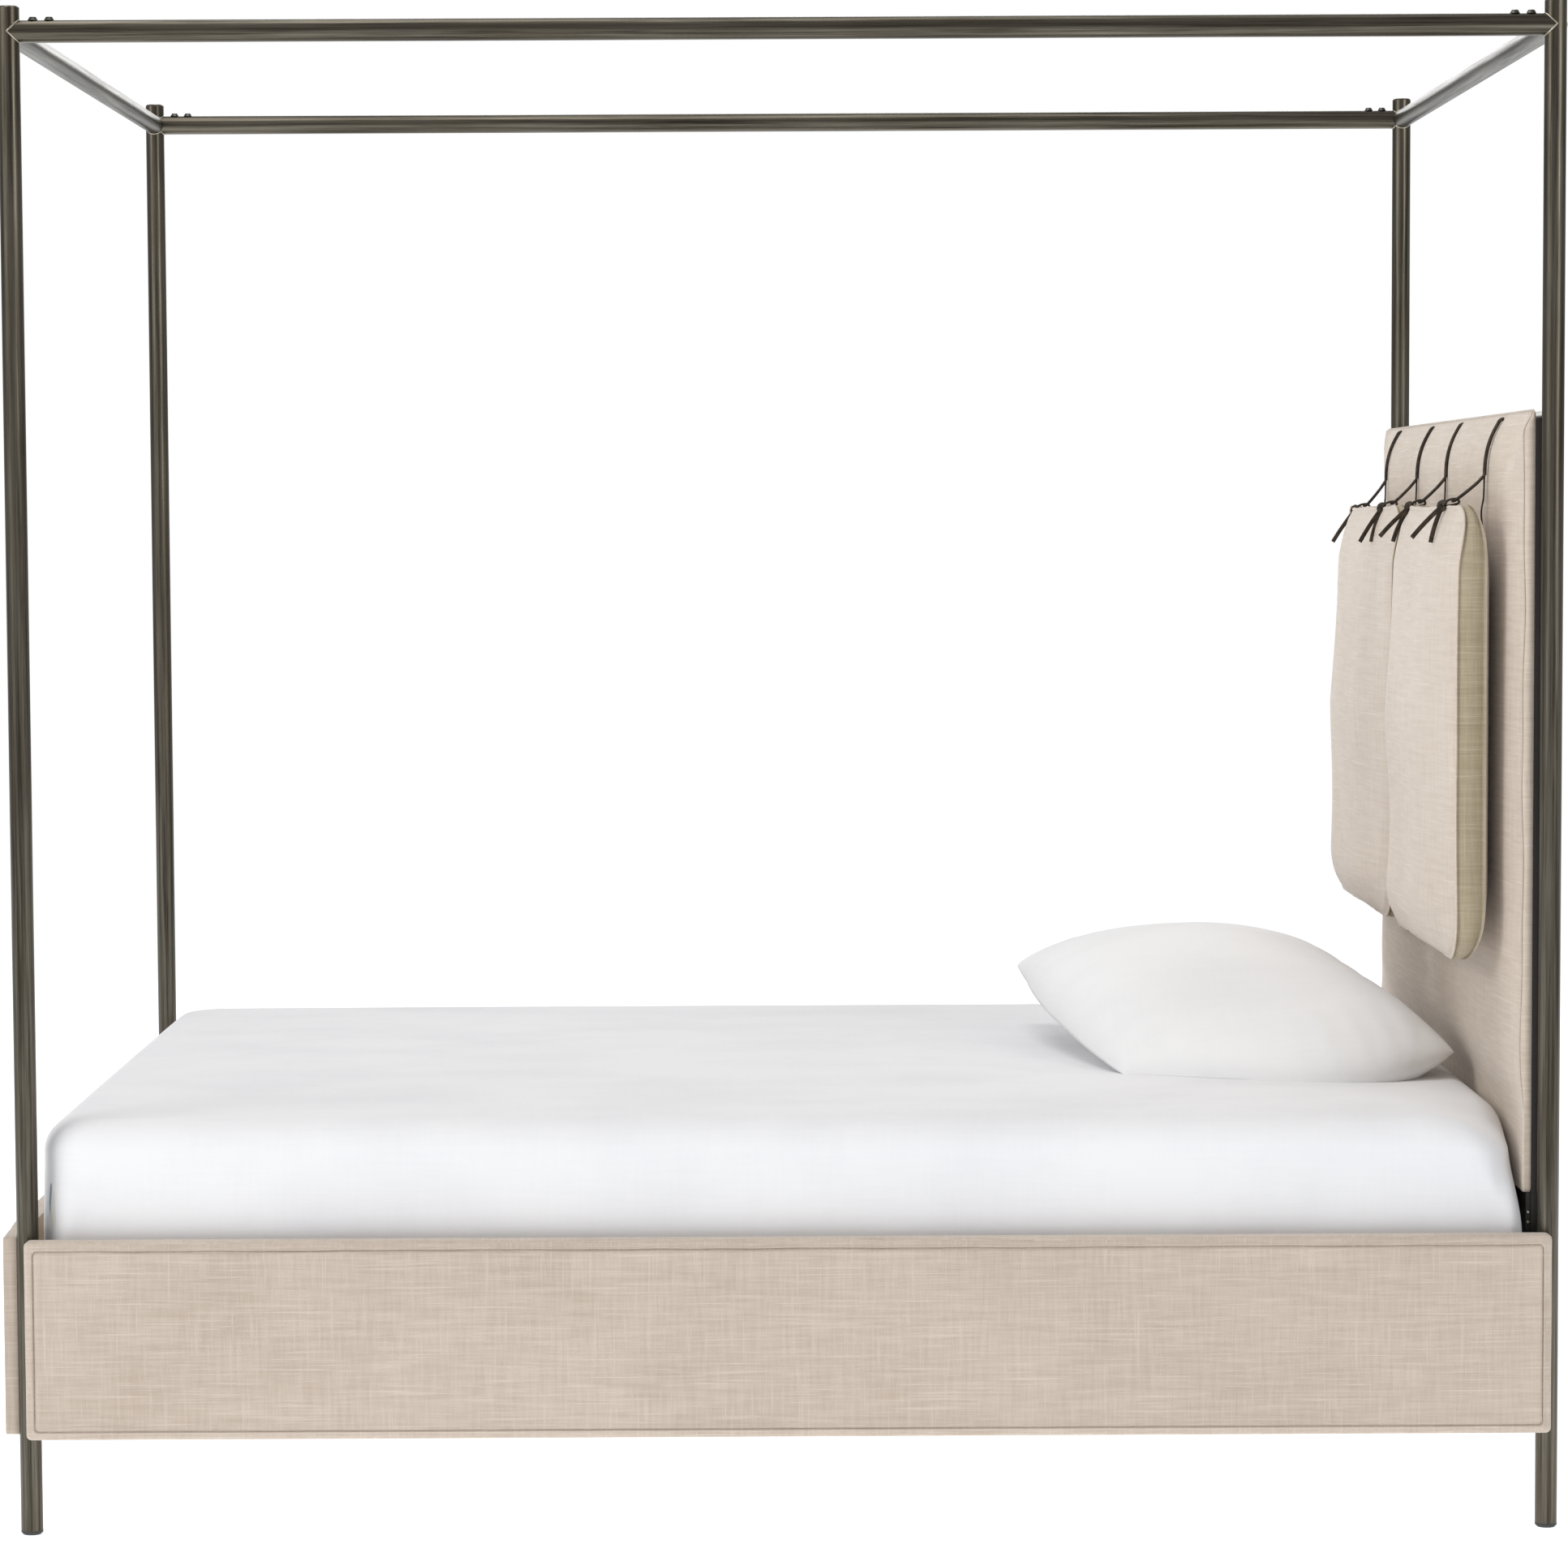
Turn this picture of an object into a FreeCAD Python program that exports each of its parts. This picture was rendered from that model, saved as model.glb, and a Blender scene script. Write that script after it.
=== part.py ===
import FreeCAD, Part
import os
import Sketcher

# A four poster canopy bed, in millimetres.  +X runs from the foot to the head, +Y to the left
# side seen from the foot, +Z up.  The origin is on the floor under the middle of the bed.
V = FreeCAD.Vector
doc = FreeCAD.newDocument("canopy_bed")

# ---------------------------------------------------------------- driving dimensions
SIZES = {
    "mattress_length": 2032, "mattress_width": 1524, "mattress_height": 267, "mattress_base": 300,
    "mattress_corner": 60, "mattress_edge": 40, "mattress_end_gap": 1.5, "mattress_side_gap": 15,
    "sheet_thick": 1, "sheet_gap": 0.1,
    "bed_height": 2081, "canopy_drop": 34, "tube_od": 30, "tube_wall": 2, "cope_gap": 0.2,
    "crossbar_od": 25, "crossbar_wall": 2, "fit_gap": 0.1,
    "cap_thick": 4, "cap_round": 2, "plug_depth": 18, "glide_thick": 6, "glide_round": 3,
    "spigot_length": 75, "spigot_wall": 3, "canopy_screw_first": 33, "canopy_screw_pitch": 22,
    "rail_bottom": 137, "rail_height": 273, "rail_board_thick": 18, "rail_pad_thick": 12,
    "rail_pad_round": 8, "cover_wrap": 3,
    "headboard_below": 187, "headboard_rise": 963, "headboard_side_gap": 17,
    "headboard_board_thick": 6, "headboard_lap": 6, "headboard_thick": 33, "headboard_gap": 5, "headboard_wrap": 8,
    "pad_lap": 7, "pad_below": 107, "pad_taper": 60, "pad_seam": 9, "pad_knee_in": 25, "pad_knee_drop": 35,
    "strap_bend_drop": 87, "strap_width": 7, "strap_thick": 2, "strap_clear": 0.4,
    "cushion_reveal": 85, "cushion_height": 632, "cushion_thick": 97.6, "cushion_drop": 40,
    "cushion_gap": 30, "cushion_box": 38, "cushion_crown": 40, "strap_inset": 138.5,
    "upper_crossbar_drop": 12, "middle_crossbar_rise": 120, "crossbar_clear": 0.5,
    "saddle_width": 40, "saddle_height": 24, "headboard_screw_in": 262, "screw_clear": 0.3,
    "screw_tip_cover": 2, "batten_width": 40, "batten_edge_in": 1, "batten_top_in": 11, "batten_thick": 12,
    "edge_screw_rise": 38, "edge_screw_pitch": 14, "edge_screw_back": 3,
    "bracket_leg": 90, "bracket_return": 30, "bracket_thick": 4, "bracket_rise": 13,
    "bracket_ledger_gap": 10, "bracket_hole_in": 30, "bracket_hole_pitch": 40,
    "ledger_width": 30, "ledger_height": 40, "ledger_end_gap": 4,
    "slat_width": 70, "slat_thick": 20, "slat_end_gap": 2, "slat_count": 12, "slat_margin": 12,
    "webbing_width": 25, "webbing_thick": 1.2, "webbing_in": 177,
    "beam_width": 60, "beam_height": 70, "hanger_thick": 4, "hanger_lip": 32, "hanger_width": 80,
    "centre_leg_od": 40, "centre_leg_in": 561,
    "pillow_length": 760, "pillow_width": 510, "pillow_thick": 196, "pillow_seam": 70,
    "pillow_foot_in": 95, "pillow_top_in": 150, "pillow_turn": 11, "pillow_centre_in": 326,
    "pillow_y": 14,
    "pillow_rest_gap": 0.5,
    "zip_pull_length": 14, "zip_pull_width": 7, "zip_pull_thick": 2, "zip_pull_in": 24,
}

# Places that follow from the sizes, one formula each.
PLACES = {
    "tube_r": "Sizes.tube_od / 2",
    "crossbar_r": "Sizes.crossbar_od / 2",
    "rail_thick": "Sizes.rail_board_thick + Sizes.rail_pad_thick",
    "post_span_x": "Sizes.mattress_length + 2 * Sizes.mattress_end_gap"
                   " + Sizes.headboard_board_thick + Sizes.headboard_lap + Sizes.headboard_gap"
                   " + Sizes.tube_od",
    "post_span_y": "Sizes.mattress_width + 2 * Sizes.mattress_side_gap - Sizes.tube_od",
    "overall_length": "post_span_x + Sizes.tube_od + rail_thick",
    "head_x": "overall_length / 2 - tube_r",
    "foot_x": "head_x - post_span_x",
    "side_y": "post_span_y / 2",
    "canopy_z": "Sizes.bed_height - Sizes.canopy_drop",
    "rail_top": "Sizes.rail_bottom + Sizes.rail_height",
    "mattress_top": "Sizes.mattress_base + Sizes.mattress_height",
    "slat_bottom": "Sizes.mattress_base - Sizes.slat_thick",
    "ledger_bottom": "slat_bottom - Sizes.ledger_height",
    "side_inner_y": "side_y + tube_r",
    "side_board_y": "side_inner_y + Sizes.rail_board_thick",
    "side_outer_y": "side_inner_y + rail_thick",
    "foot_inner_x": "foot_x - tube_r",
    "foot_board_x": "foot_inner_x - Sizes.rail_board_thick",
    "foot_outer_x": "foot_inner_x - rail_thick",
    "well_foot_x": "foot_x + tube_r",
    "well_head_x": "head_x - tube_r",
    "headboard_back_x": "head_x - tube_r - Sizes.headboard_gap",
    "headboard_face_x": "headboard_back_x - Sizes.headboard_board_thick",
    "headboard_lap_x": "headboard_face_x - Sizes.headboard_lap",
    "headboard_front_x": "headboard_back_x - Sizes.headboard_thick",
    "headboard_half_y": "side_y - Sizes.headboard_side_gap",
    "headboard_bottom": "mattress_top - Sizes.headboard_below",
    "headboard_top": "mattress_top + Sizes.headboard_rise",
    "pad_low": "mattress_top - Sizes.pad_lap",
    "pad_bottom": "mattress_top - Sizes.pad_below",
    "strap_bend_z": "headboard_top - Sizes.strap_bend_drop",
    "pad_seam_x": "headboard_back_x - Sizes.pad_seam",
    "pad_knee_x": "headboard_back_x - Sizes.pad_knee_in",
    "pad_knee_z": "headboard_top - Sizes.pad_knee_drop",
    "bracket_bottom": "Sizes.rail_bottom + Sizes.bracket_rise",
    "bracket_height": "ledger_bottom - Sizes.bracket_ledger_gap - bracket_bottom",
    "upper_crossbar_z": "headboard_top - Sizes.upper_crossbar_drop",
    "middle_crossbar_z": "headboard_bottom + Sizes.middle_crossbar_rise",
    "lower_crossbar_z": "bracket_bottom + bracket_height + Sizes.crossbar_clear + crossbar_r",
    "mattress_foot_x": "well_foot_x + Sizes.mattress_end_gap",
    "mattress_head_x": "mattress_foot_x + Sizes.mattress_length",
    "ledger_inner_y": "side_inner_y - Sizes.ledger_width",
    "beam_bottom": "slat_bottom - Sizes.beam_height",
    "beam_foot_x": "foot_x + crossbar_r + Sizes.hanger_thick",
    "beam_head_x": "head_x - crossbar_r - Sizes.hanger_thick",
    "centre_leg_x": "head_x - tube_r - Sizes.centre_leg_in",
    "pillow_x": "headboard_front_x - Sizes.pillow_centre_in",
    "cushion_width": "headboard_half_y - Sizes.cushion_reveal - Sizes.cushion_gap / 2",
    "cushion_back_x": "headboard_front_x - Sizes.strap_clear - Sizes.strap_thick",
    "cushion_front_x": "cushion_back_x - Sizes.cushion_thick",
    "cushion_seam_x": "cushion_front_x + Sizes.cushion_crown",
    "cushion_rear_seam_x": "cushion_seam_x + Sizes.cushion_box",
    "cushion_top": "strap_bend_z - Sizes.cushion_drop",
    "cushion_bottom": "cushion_top - Sizes.cushion_height",
    "cushion_y": "(Sizes.cushion_gap + cushion_width) / 2",
    "strap_spread": "cushion_width - 2 * Sizes.strap_inset",
}


def makeSheet(name, cells):
    """A sheet with one row for each name: its words in A, its value in B."""
    page = doc.addObject("Spreadsheet::Sheet", name)
    for row, (alias, value) in enumerate(cells.items(), start=1):
        page.set(f"A{row}", alias)
        page.setAlias(f"B{row}", alias)
        page.set(f"B{row}", str(value) if name == "Sizes" else "=" + value)
    return page


sizes = makeSheet("Sizes", SIZES)
places = makeSheet("Places", PLACES)
doc.recompute()

NODES = []                      # the sub-parts, in the order they are made
SIDES = {"left": 1, "right": -1}
ENDS = {"head": 1, "foot": -1}


# ---------------------------------------------------------------- helpers
def at(text):
    """An expression with each bare place or size name turned into its sheet's cell."""
    out, word = [], ""
    for mark in text + " ":
        if mark.isalnum() or mark in "_.":
            word += mark
            continue
        home = "Places." if word in PLACES else "Sizes." if word in SIZES else ""
        out.append(home + word + mark)
        word = ""
    return "".join(out).strip()


def number(text):
    """What an expression comes to now."""
    probe = doc.addObject("App::FeaturePython", "probe")
    probe.addProperty("App::PropertyFloat", "answer")
    probe.setExpression("answer", at(text))
    probe.recompute()
    answer = probe.answer
    doc.removeObject(probe.Name)
    return answer


def bind(item, **links):
    """Tie properties to expressions; x, y and z are the placement's base."""
    for key, text in links.items():
        path = "Placement.Base." + key if key in "xyz" else key
        item.setExpression(path, at(text))


def node(item, label):
    item.Label = label
    NODES.append(item)
    return item


def box(name, x0, x1, y0, y1, z0, z1):
    """A block between two corners."""
    item = doc.addObject("Part::Box", name)
    bind(item, Length=f"({x1}) - ({x0})", Width=f"({y1}) - ({y0})", Height=f"({z1}) - ({z0})",
         x=x0, y=y0, z=z0)
    return item


TURNS = {"x": (V(0, 1, 0), 90), "y": (V(1, 0, 0), -90), "z": (V(0, 0, 1), 0),
         "-x": (V(0, 1, 0), -90), "-y": (V(1, 0, 0), 90), "-z": (V(1, 0, 0), 180)}


def rod(name, along, start, radius, length):
    """A round bar from a start point, running along an axis."""
    item = doc.addObject("Part::Cylinder", name)
    item.Placement = FreeCAD.Placement(V(), FreeCAD.Rotation(*TURNS[along]))
    bind(item, Radius=radius, Height=length, x=start[0], y=start[1], z=start[2])
    return item


def cut(name, base, tools):
    """A base with one or more pieces taken away."""
    item = doc.addObject("Part::Cut", name)
    item.Base = base
    item.Tool = tools[0] if len(tools) == 1 else group(name + "_tools", tools)
    return item


def group(name, items):
    item = doc.addObject("Part::Compound", name)
    item.Links = items
    return item


def tube(name, along, start, outer, wall, length, trims=()):
    """A round tube, its ends coped by whatever is in trims."""
    skin = rod(name + "_skin", along, start, outer, length)
    bore = rod(name + "_bore", along, start, f"{outer} - {wall}", length)
    return cut(name, skin, [bore, *trims])


def screw(name, facing, seat, head_r, head_h, shank_r, shank):
    """A button head screw: domed head standing on its seat, shank the other way, hex socket."""
    back = facing[1:] if facing.startswith("-") else "-" + facing
    head = doc.addObject("Part::Cone", name + "_head")
    head.Placement = FreeCAD.Placement(V(), FreeCAD.Rotation(*TURNS[facing]))
    bind(head, Radius1=str(head_r), Radius2=str(0.62 * head_r), Height=str(head_h),
         x=seat[0], y=seat[1], z=seat[2])
    body = doc.addObject("Part::MultiFuse", name + "_solid")
    body.Shapes = [head, rod(name + "_shank", back, seat, str(shank_r), str(shank))]
    socket = doc.addObject("Part::Prism", name + "_socket")
    socket.Placement = FreeCAD.Placement(V(), FreeCAD.Rotation(*TURNS[facing]))
    axis = facing[-1]
    lift = f"{'-' if facing.startswith('-') else '+'} {0.45 * head_h}"
    seats = {k: f"{s} {lift}" if k == axis else s for k, s in zip("xyz", seat)}
    bind(socket, Circumradius=str(0.36 * head_r), Height=str(head_h), **seats)
    return cut(name, body, [socket])


def plane(body, role):
    return next(f for f in body.Origin.OriginFeatures if f.Role == role)


def outline(body, name, role, points, offset="0"):
    """A closed sketch through points, each held by two driven dimensions."""
    sketch = body.newObject("Sketcher::SketchObject", name)
    sketch.AttachmentSupport = (plane(body, role), [""])
    sketch.MapMode = "FlatFace"
    sketch.setExpression("AttachmentOffset.Base.z", at(offset))
    corners = [V(number(u), number(v), 0) for u, v in points]
    count = len(corners)
    for k in range(count):
        sketch.addGeometry(Part.LineSegment(corners[k], corners[(k + 1) % count]))
    for k in range(count):
        sketch.addConstraint(Sketcher.Constraint("Coincident", k, 2, (k + 1) % count, 1))
    for k, (u, v) in enumerate(points):
        for kind, reading, text in (("DistanceX", corners[k].x, u), ("DistanceY", corners[k].y, v)):
            spot = sketch.addConstraint(Sketcher.Constraint(kind, -1, 1, k, 1, reading))
            sketch.setExpression(f"Constraints[{spot}]", at(text))
    return sketch


def slabBody(name, role, points, length, offset="0", middle=True):
    """A body: an outline padded to a length, about its sketch plane or away from it."""
    body = doc.addObject("PartDesign::Body", name)
    pad = body.newObject("PartDesign::Pad", name + "_pad")
    pad.Profile = outline(body, name + "_outline", role, points, offset)
    pad.Midplane = middle
    pad.setExpression("Length", at(length))
    return body


def roundEdges(body, name, radius, test):
    """Fillet the edges of a body's last feature that pass a test on their two ends."""
    doc.recompute()
    tip = body.Tip
    names = []
    for k, edge in enumerate(tip.Shape.Edges, start=1):
        ends = [vertex.Point for vertex in edge.Vertexes]
        if len(ends) == 2 and test(*ends):
            names.append(f"Edge{k}")
    fillet = body.newObject("PartDesign::Fillet", name)
    fillet.Base = (tip, names)
    fillet.setExpression("Radius", at(radius))
    return fillet


def turned(name, points, x, y):
    """A body turned about a vertical axis at (x, y), from a half outline."""
    body = doc.addObject("PartDesign::Body", name)
    spin = body.newObject("PartDesign::Revolution", name + "_turn")
    spin.Profile = outline(body, name + "_outline", "XZ_Plane", points)
    spin.ReferenceAxis = (plane(body, "Z_Axis"), [""])
    spin.Angle = 360
    bind(body, x=x, y=y)
    return body


def upright(a, b):
    return abs(a.x - b.x) < 0.01 and abs(a.y - b.y) < 0.01


CORNERS = [(end, side, f"{end}_x", f"{sy} * side_y")
           for end in ENDS for side, sy in SIDES.items()]


# ---------------------------------------------------------------- posts, caps, glides
def postTools(tag):
    """The four posts as solid bars, to cope tube ends against."""
    return [rod(f"cope_{tag}_{end}_{side}", "z", (x, y, "0"), "tube_r + cope_gap", "bed_height")
            for end, side, x, y in CORNERS]


def makePosts():
    caps = []
    for end, side, x, y in CORNERS:
        node(tube(f"post_{end}_{side}_tube", "z", (x, y, "glide_thick"), "tube_r", "tube_wall",
                  "bed_height - cap_thick - glide_thick"), f"post_{end}_{side}")
        inside = "tube_r - tube_wall - fit_gap"
        caps.append(turned(f"cap_{end}_{side}", [
            ("0", "bed_height"), ("tube_r - cap_round", "bed_height"),
            ("tube_r", "bed_height - cap_round"), ("tube_r", "bed_height - cap_thick"),
            (inside, "bed_height - cap_thick"), (inside, "bed_height - cap_thick - plug_depth"),
            ("0", "bed_height - cap_thick - plug_depth")], x, y))
        glide = turned(f"glide_{end}_{side}_turned", [
            ("0", "0"), ("tube_r - glide_round", "0"), ("tube_r", "glide_round"),
            ("tube_r", "glide_thick"), (inside, "glide_thick"),
            (inside, "glide_thick + plug_depth"), ("0", "glide_thick + plug_depth")], x, y)
        node(glide, f"glide_{end}_{side}")
    node(group("caps", caps), "post_caps")


# ---------------------------------------------------------------- canopy
CANOPY_SCREW = (7, 4.5, 3, 12)          # head radius, head height, shank radius, shank length


def makeCanopy():
    screws, spigots = [], []
    for side, sy in SIDES.items():
        y = f"{sy} * side_y"
        holes = []
        for end, se in ENDS.items():
            spigot_r = "tube_r - tube_wall - fit_gap"
            taps = []
            for k in range(2):
                x = f"{end}_x - {se} * (canopy_screw_first + {k} * canopy_screw_pitch)"
                tag = f"{end}_{side}_{k}"
                seat = (x, y, "canopy_z + tube_r")
                screws.append(screw(f"canopy_screw_{tag}", "z", seat, *CANOPY_SCREW))
                holes.append(rod(f"canopy_hole_{tag}", "-z", seat,
                                 f"{CANOPY_SCREW[2]} + screw_clear", "tube_r"))
                taps.append(rod(f"canopy_tap_{tag}", "-z", seat, str(CANOPY_SCREW[2]), "tube_r"))
            start = f"{end}_x" if se < 0 else f"{end}_x - tube_r - spigot_length"
            cope = rod(f"spigot_cope_{end}_{side}", "z", (f"{end}_x", y, "canopy_z - tube_od"),
                       "tube_r", "2 * tube_od")
            spigots.append(tube(f"spigot_{end}_{side}", "x", (start, y, "canopy_z"), spigot_r,
                                "spigot_wall", "tube_r + spigot_length", [cope, *taps]))
        node(tube(f"canopy_side_{side}", "x", ("foot_x", y, "canopy_z"), "tube_r", "tube_wall",
                  "post_span_x", postTools("side_" + side) + holes), f"canopy_side_rail_{side}")
    for end, se in ENDS.items():        # the end rails also clear the side rails beside each post
        nose = f"{end}_x - {se} * 3 * tube_r"
        mitres = [rod(f"mitre_{end}_{side}", "x" if se > 0 else "-x",
                      (nose, f"{sy} * side_y", "canopy_z"), "tube_r + cope_gap", "2.4 * tube_r")
                  for side, sy in SIDES.items()]
        node(tube(f"canopy_end_{end}", "y", (f"{end}_x", "-side_y", "canopy_z"), "tube_r",
                  "tube_wall", "post_span_y", postTools("end_" + end) + mitres),
             f"canopy_end_rail_{end}")
    node(group("spigots", spigots), "canopy_spigots")
    node(group("canopy_screw_set", screws), "canopy_screws")


# ---------------------------------------------------------------- crossbars and headboard
HEADBOARD_SCREW = (6, 2.3, 3, "crossbar_r + tube_r + headboard_gap + headboard_board_thick"
                   " - screw_tip_cover")
EDGE_SCREW = (2.4, 1.2, 1.2, 14)


def makeHeadboard():
    seats = [(f"{sy} * (side_y - headboard_screw_in)", f"{level}_crossbar_z")
             for level in ("upper", "middle") for sy in SIDES.values()]
    screws, clear, taps, saddles = [], [], [], []
    for k, (y, z) in enumerate(seats):
        seat = ("head_x + crossbar_r", y, z)
        screws.append(screw(f"headboard_screw_{k}", "x", seat, *HEADBOARD_SCREW))
        clear.append(rod(f"headboard_clear_{k}", "-x", seat,
                         f"{HEADBOARD_SCREW[2]} + screw_clear", str(HEADBOARD_SCREW[3])))
        taps.append(rod(f"headboard_tap_{k}", "-x", seat, str(HEADBOARD_SCREW[2]),
                        str(HEADBOARD_SCREW[3])))
        block = box(f"saddle_block_{k}", "headboard_back_x", "head_x",
                    f"{y} - saddle_width / 2", f"{y} + saddle_width / 2",
                    f"{z} - saddle_height / 2", f"{z} + saddle_height / 2")
        seatbar = rod(f"saddle_bar_{k}", "y", ("head_x", f"{y} - saddle_width", z), "crossbar_r",
                      "2 * saddle_width")
        saddles.append(cut(f"saddle_{k}", block, [seatbar, clear[-1]]))
    for level in ("upper", "middle", "lower"):
        z = f"{level}_crossbar_z"
        bores = {"upper": clear[:2], "middle": clear[2:], "lower": []}[level]
        node(tube(f"{level}_bar", "y", ("head_x", "-side_y", z), "crossbar_r", "crossbar_wall",
                  "post_span_y", postTools(level) + bores), f"head_crossbar_{level}")
    node(tube("foot_bar", "y", ("foot_x", "-side_y", "lower_crossbar_z"), "crossbar_r",
              "crossbar_wall", "post_span_y", postTools("foot_bar")), "foot_crossbar")

    half = "headboard_half_y - headboard_wrap"
    board = ("headboard_face_x", "headboard_back_x", f"-({half})", half, "headboard_bottom",
             "headboard_top - headboard_wrap")
    edge_screws, battens = [], []
    for side, sy in SIDES.items():
        for k in range(2):
            seat = ("headboard_back_x - edge_screw_back", f"{sy} * ({half})",
                    f"headboard_bottom + edge_screw_rise + {k} * edge_screw_pitch")
            facing, back = ("y", "-y") if sy > 0 else ("-y", "y")
            edge_screws.append(screw(f"edge_screw_{side}_{k}", facing, seat, *EDGE_SCREW))
            taps.append(rod(f"edge_tap_{side}_{k}", back, seat, str(EDGE_SCREW[2]),
                            str(EDGE_SCREW[3])))
        outer = "(headboard_half_y - batten_edge_in)"
        lo, hi = ((f"{outer} - batten_width", outer) if sy > 0
                  else (f"-{outer}", f"batten_width - {outer}"))
        strip = box(f"batten_strip_{side}", "headboard_back_x", "headboard_back_x + batten_thick",
                    lo, hi, "headboard_bottom", "headboard_top - batten_top_in")
        notches = [rod(f"batten_notch_{side}_{level}", "y",
                       ("head_x", f"{lo} - batten_width", f"{level}_crossbar_z"),
                       "crossbar_r + crossbar_clear", "3 * batten_width")
                   for level in ("upper", "middle")]
        battens.append(cut(f"batten_{side}", strip, notches))
    node(group("batten_set", battens), "headboard_battens")
    node(cut("headboard_panel", box("headboard_sheet", *board), taps), "headboard_board")
    shape = slabBody("headboard_foam", "XZ_Plane", [
        ("headboard_back_x", "headboard_top"), ("pad_seam_x", "headboard_top"),
        ("pad_knee_x", "pad_knee_z"), ("headboard_front_x", "strap_bend_z"),
        ("headboard_front_x", "pad_low + pad_taper"), ("headboard_lap_x", "pad_low"),
        ("headboard_lap_x", "pad_bottom"), ("headboard_back_x", "pad_bottom")],
        "2 * headboard_half_y")
    node(cut("headboard_upholstery", shape, [box("headboard_pocket", *board)]), "headboard_pad")
    node(group("saddles", saddles), "headboard_saddles")
    node(group("headboard_screw_set", screws), "headboard_screws")
    node(group("edge_screw_set", edge_screws), "headboard_edge_screws")


# ---------------------------------------------------------------- rails round the mattress
BRACKET_BOLT = (6.5, 4, 4, "bracket_thick + rail_board_thick - 2 * screw_tip_cover")
LEDGER_SCREW = (4, 2.5, 2.2, "ledger_width + rail_board_thick - 3 * screw_tip_cover")
LEDGER_SCREWS = 5


def bracket(name, points, bolts):
    """An angle bracket standing on its L outline, drilled for its bolts."""
    body = slabBody(name + "_angle", "XY_Plane", points, "bracket_height", "bracket_bottom", False)
    return node(cut(name + "_drilled", body, bolts), name)


def boltRow(name, facing, place):
    """Two bolts in a row on a bracket's long leg, with their holes."""
    back = facing[1:] if facing.startswith("-") else "-" + facing
    z = "bracket_bottom + bracket_height / 2"
    bolts, holes, taps = [], [], []
    for k in range(2):
        x, y = place(f"(bracket_hole_in + {k} * bracket_hole_pitch)")
        bolts.append(screw(f"{name}_bolt_{k}", facing, (x, y, z), *BRACKET_BOLT))
        for kind, radius, rods in (("hole", "+ screw_clear", holes), ("tap", "", taps)):
            rods.append(rod(f"{name}_{kind}_{k}", back, (x, y, z), f"{BRACKET_BOLT[2]} {radius}",
                            str(BRACKET_BOLT[3])))
    return bolts, holes, taps


def paddedCover(name, outer, board, test):
    """Padding and fabric round a board: a block with softened front edges, less the board."""
    block = box(name + "_block", *outer)
    doc.recompute()
    soft = doc.addObject("Part::Fillet", name + "_soft")
    soft.Base = block
    radius = number("rail_pad_round")
    edges = [k for k, edge in enumerate(block.Shape.Edges, start=1)
             if all(test(vertex.Point) for vertex in edge.Vertexes)]
    soft.Edges = [(k, radius, radius) for k in edges]
    return node(cut(name + "_shell", soft, [box(name + "_pocket", *board)]), name)


def makeSideRails():
    bolts, ledger_screws = [], []
    for side, sy in SIDES.items():
        taps = []
        for end, se in ENDS.items():
            face = f"{sy} * (side_inner_y - bracket_thick)"

            def along(reach, end=end, se=se, face=face):
                return f"{end}_x - {se} * (tube_r + {reach})", face

            name = f"rail_bracket_{end}_{side}"
            new, holes, tapped = boltRow(name, "-y" if sy > 0 else "y", along)
            bolts += new
            taps += tapped
            x0 = f"{end}_x - {se} * tube_r"
            x1, x2 = f"{x0} - {se} * bracket_thick", f"{x0} - {se} * bracket_leg"
            y0, y1 = f"{sy} * side_inner_y", f"{sy} * (side_inner_y - bracket_thick)"
            y2 = f"{sy} * (side_inner_y - bracket_return)"
            bracket(name, [(x0, y0), (x2, y0), (x2, y1), (x1, y1), (x1, y2), (x0, y2)], holes)
        ledger_taps, ledger_holes = [], []
        for k in range(LEDGER_SCREWS):
            share = (k + 0.5) / LEDGER_SCREWS - 0.5
            seat = (f"{share} * post_span_x + (head_x + foot_x) / 2", f"{sy} * ledger_inner_y",
                    "ledger_bottom + ledger_height / 2")
            facing, back = ("-y", "y") if sy > 0 else ("y", "-y")
            ledger_screws.append(screw(f"ledger_screw_{side}_{k}", facing, seat, *LEDGER_SCREW))
            ledger_holes.append(rod(f"ledger_hole_{side}_{k}", back, seat,
                                    f"{LEDGER_SCREW[2]} + screw_clear", str(LEDGER_SCREW[3])))
            ledger_taps.append(rod(f"ledger_tap_{side}_{k}", back, seat, str(LEDGER_SCREW[2]),
                                   str(LEDGER_SCREW[3])))
        lo, hi = ("side_inner_y", "side_board_y") if sy > 0 else ("-side_board_y", "-side_inner_y")
        board = ("foot_x + cover_wrap", "head_x - cover_wrap", lo, hi,
                 "rail_bottom + cover_wrap", "rail_top - cover_wrap")
        node(cut(f"side_board_{side}", box(f"side_plank_{side}", *board), taps + ledger_taps),
             f"side_rail_board_{side}")
        lo, hi = ("side_inner_y", "side_outer_y") if sy > 0 else ("-side_outer_y", "-side_inner_y")
        front = sy * number("side_outer_y")
        paddedCover(f"side_rail_cover_{side}",
                    ("foot_x", "head_x", lo, hi, "rail_bottom", "rail_top"), board,
                    lambda p, front=front: abs(p.y - front) < 0.01)
        lo, hi = (("ledger_inner_y", "side_inner_y") if sy > 0
                  else ("-side_inner_y", "-ledger_inner_y"))
        strip = box(f"ledger_strip_{side}", "well_foot_x + ledger_end_gap",
                    "well_head_x - ledger_end_gap", lo, hi, "ledger_bottom", "slat_bottom")
        node(cut(f"ledger_{side}_drilled", strip, ledger_holes), f"slat_ledger_{side}")
    return bolts, ledger_screws


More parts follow.
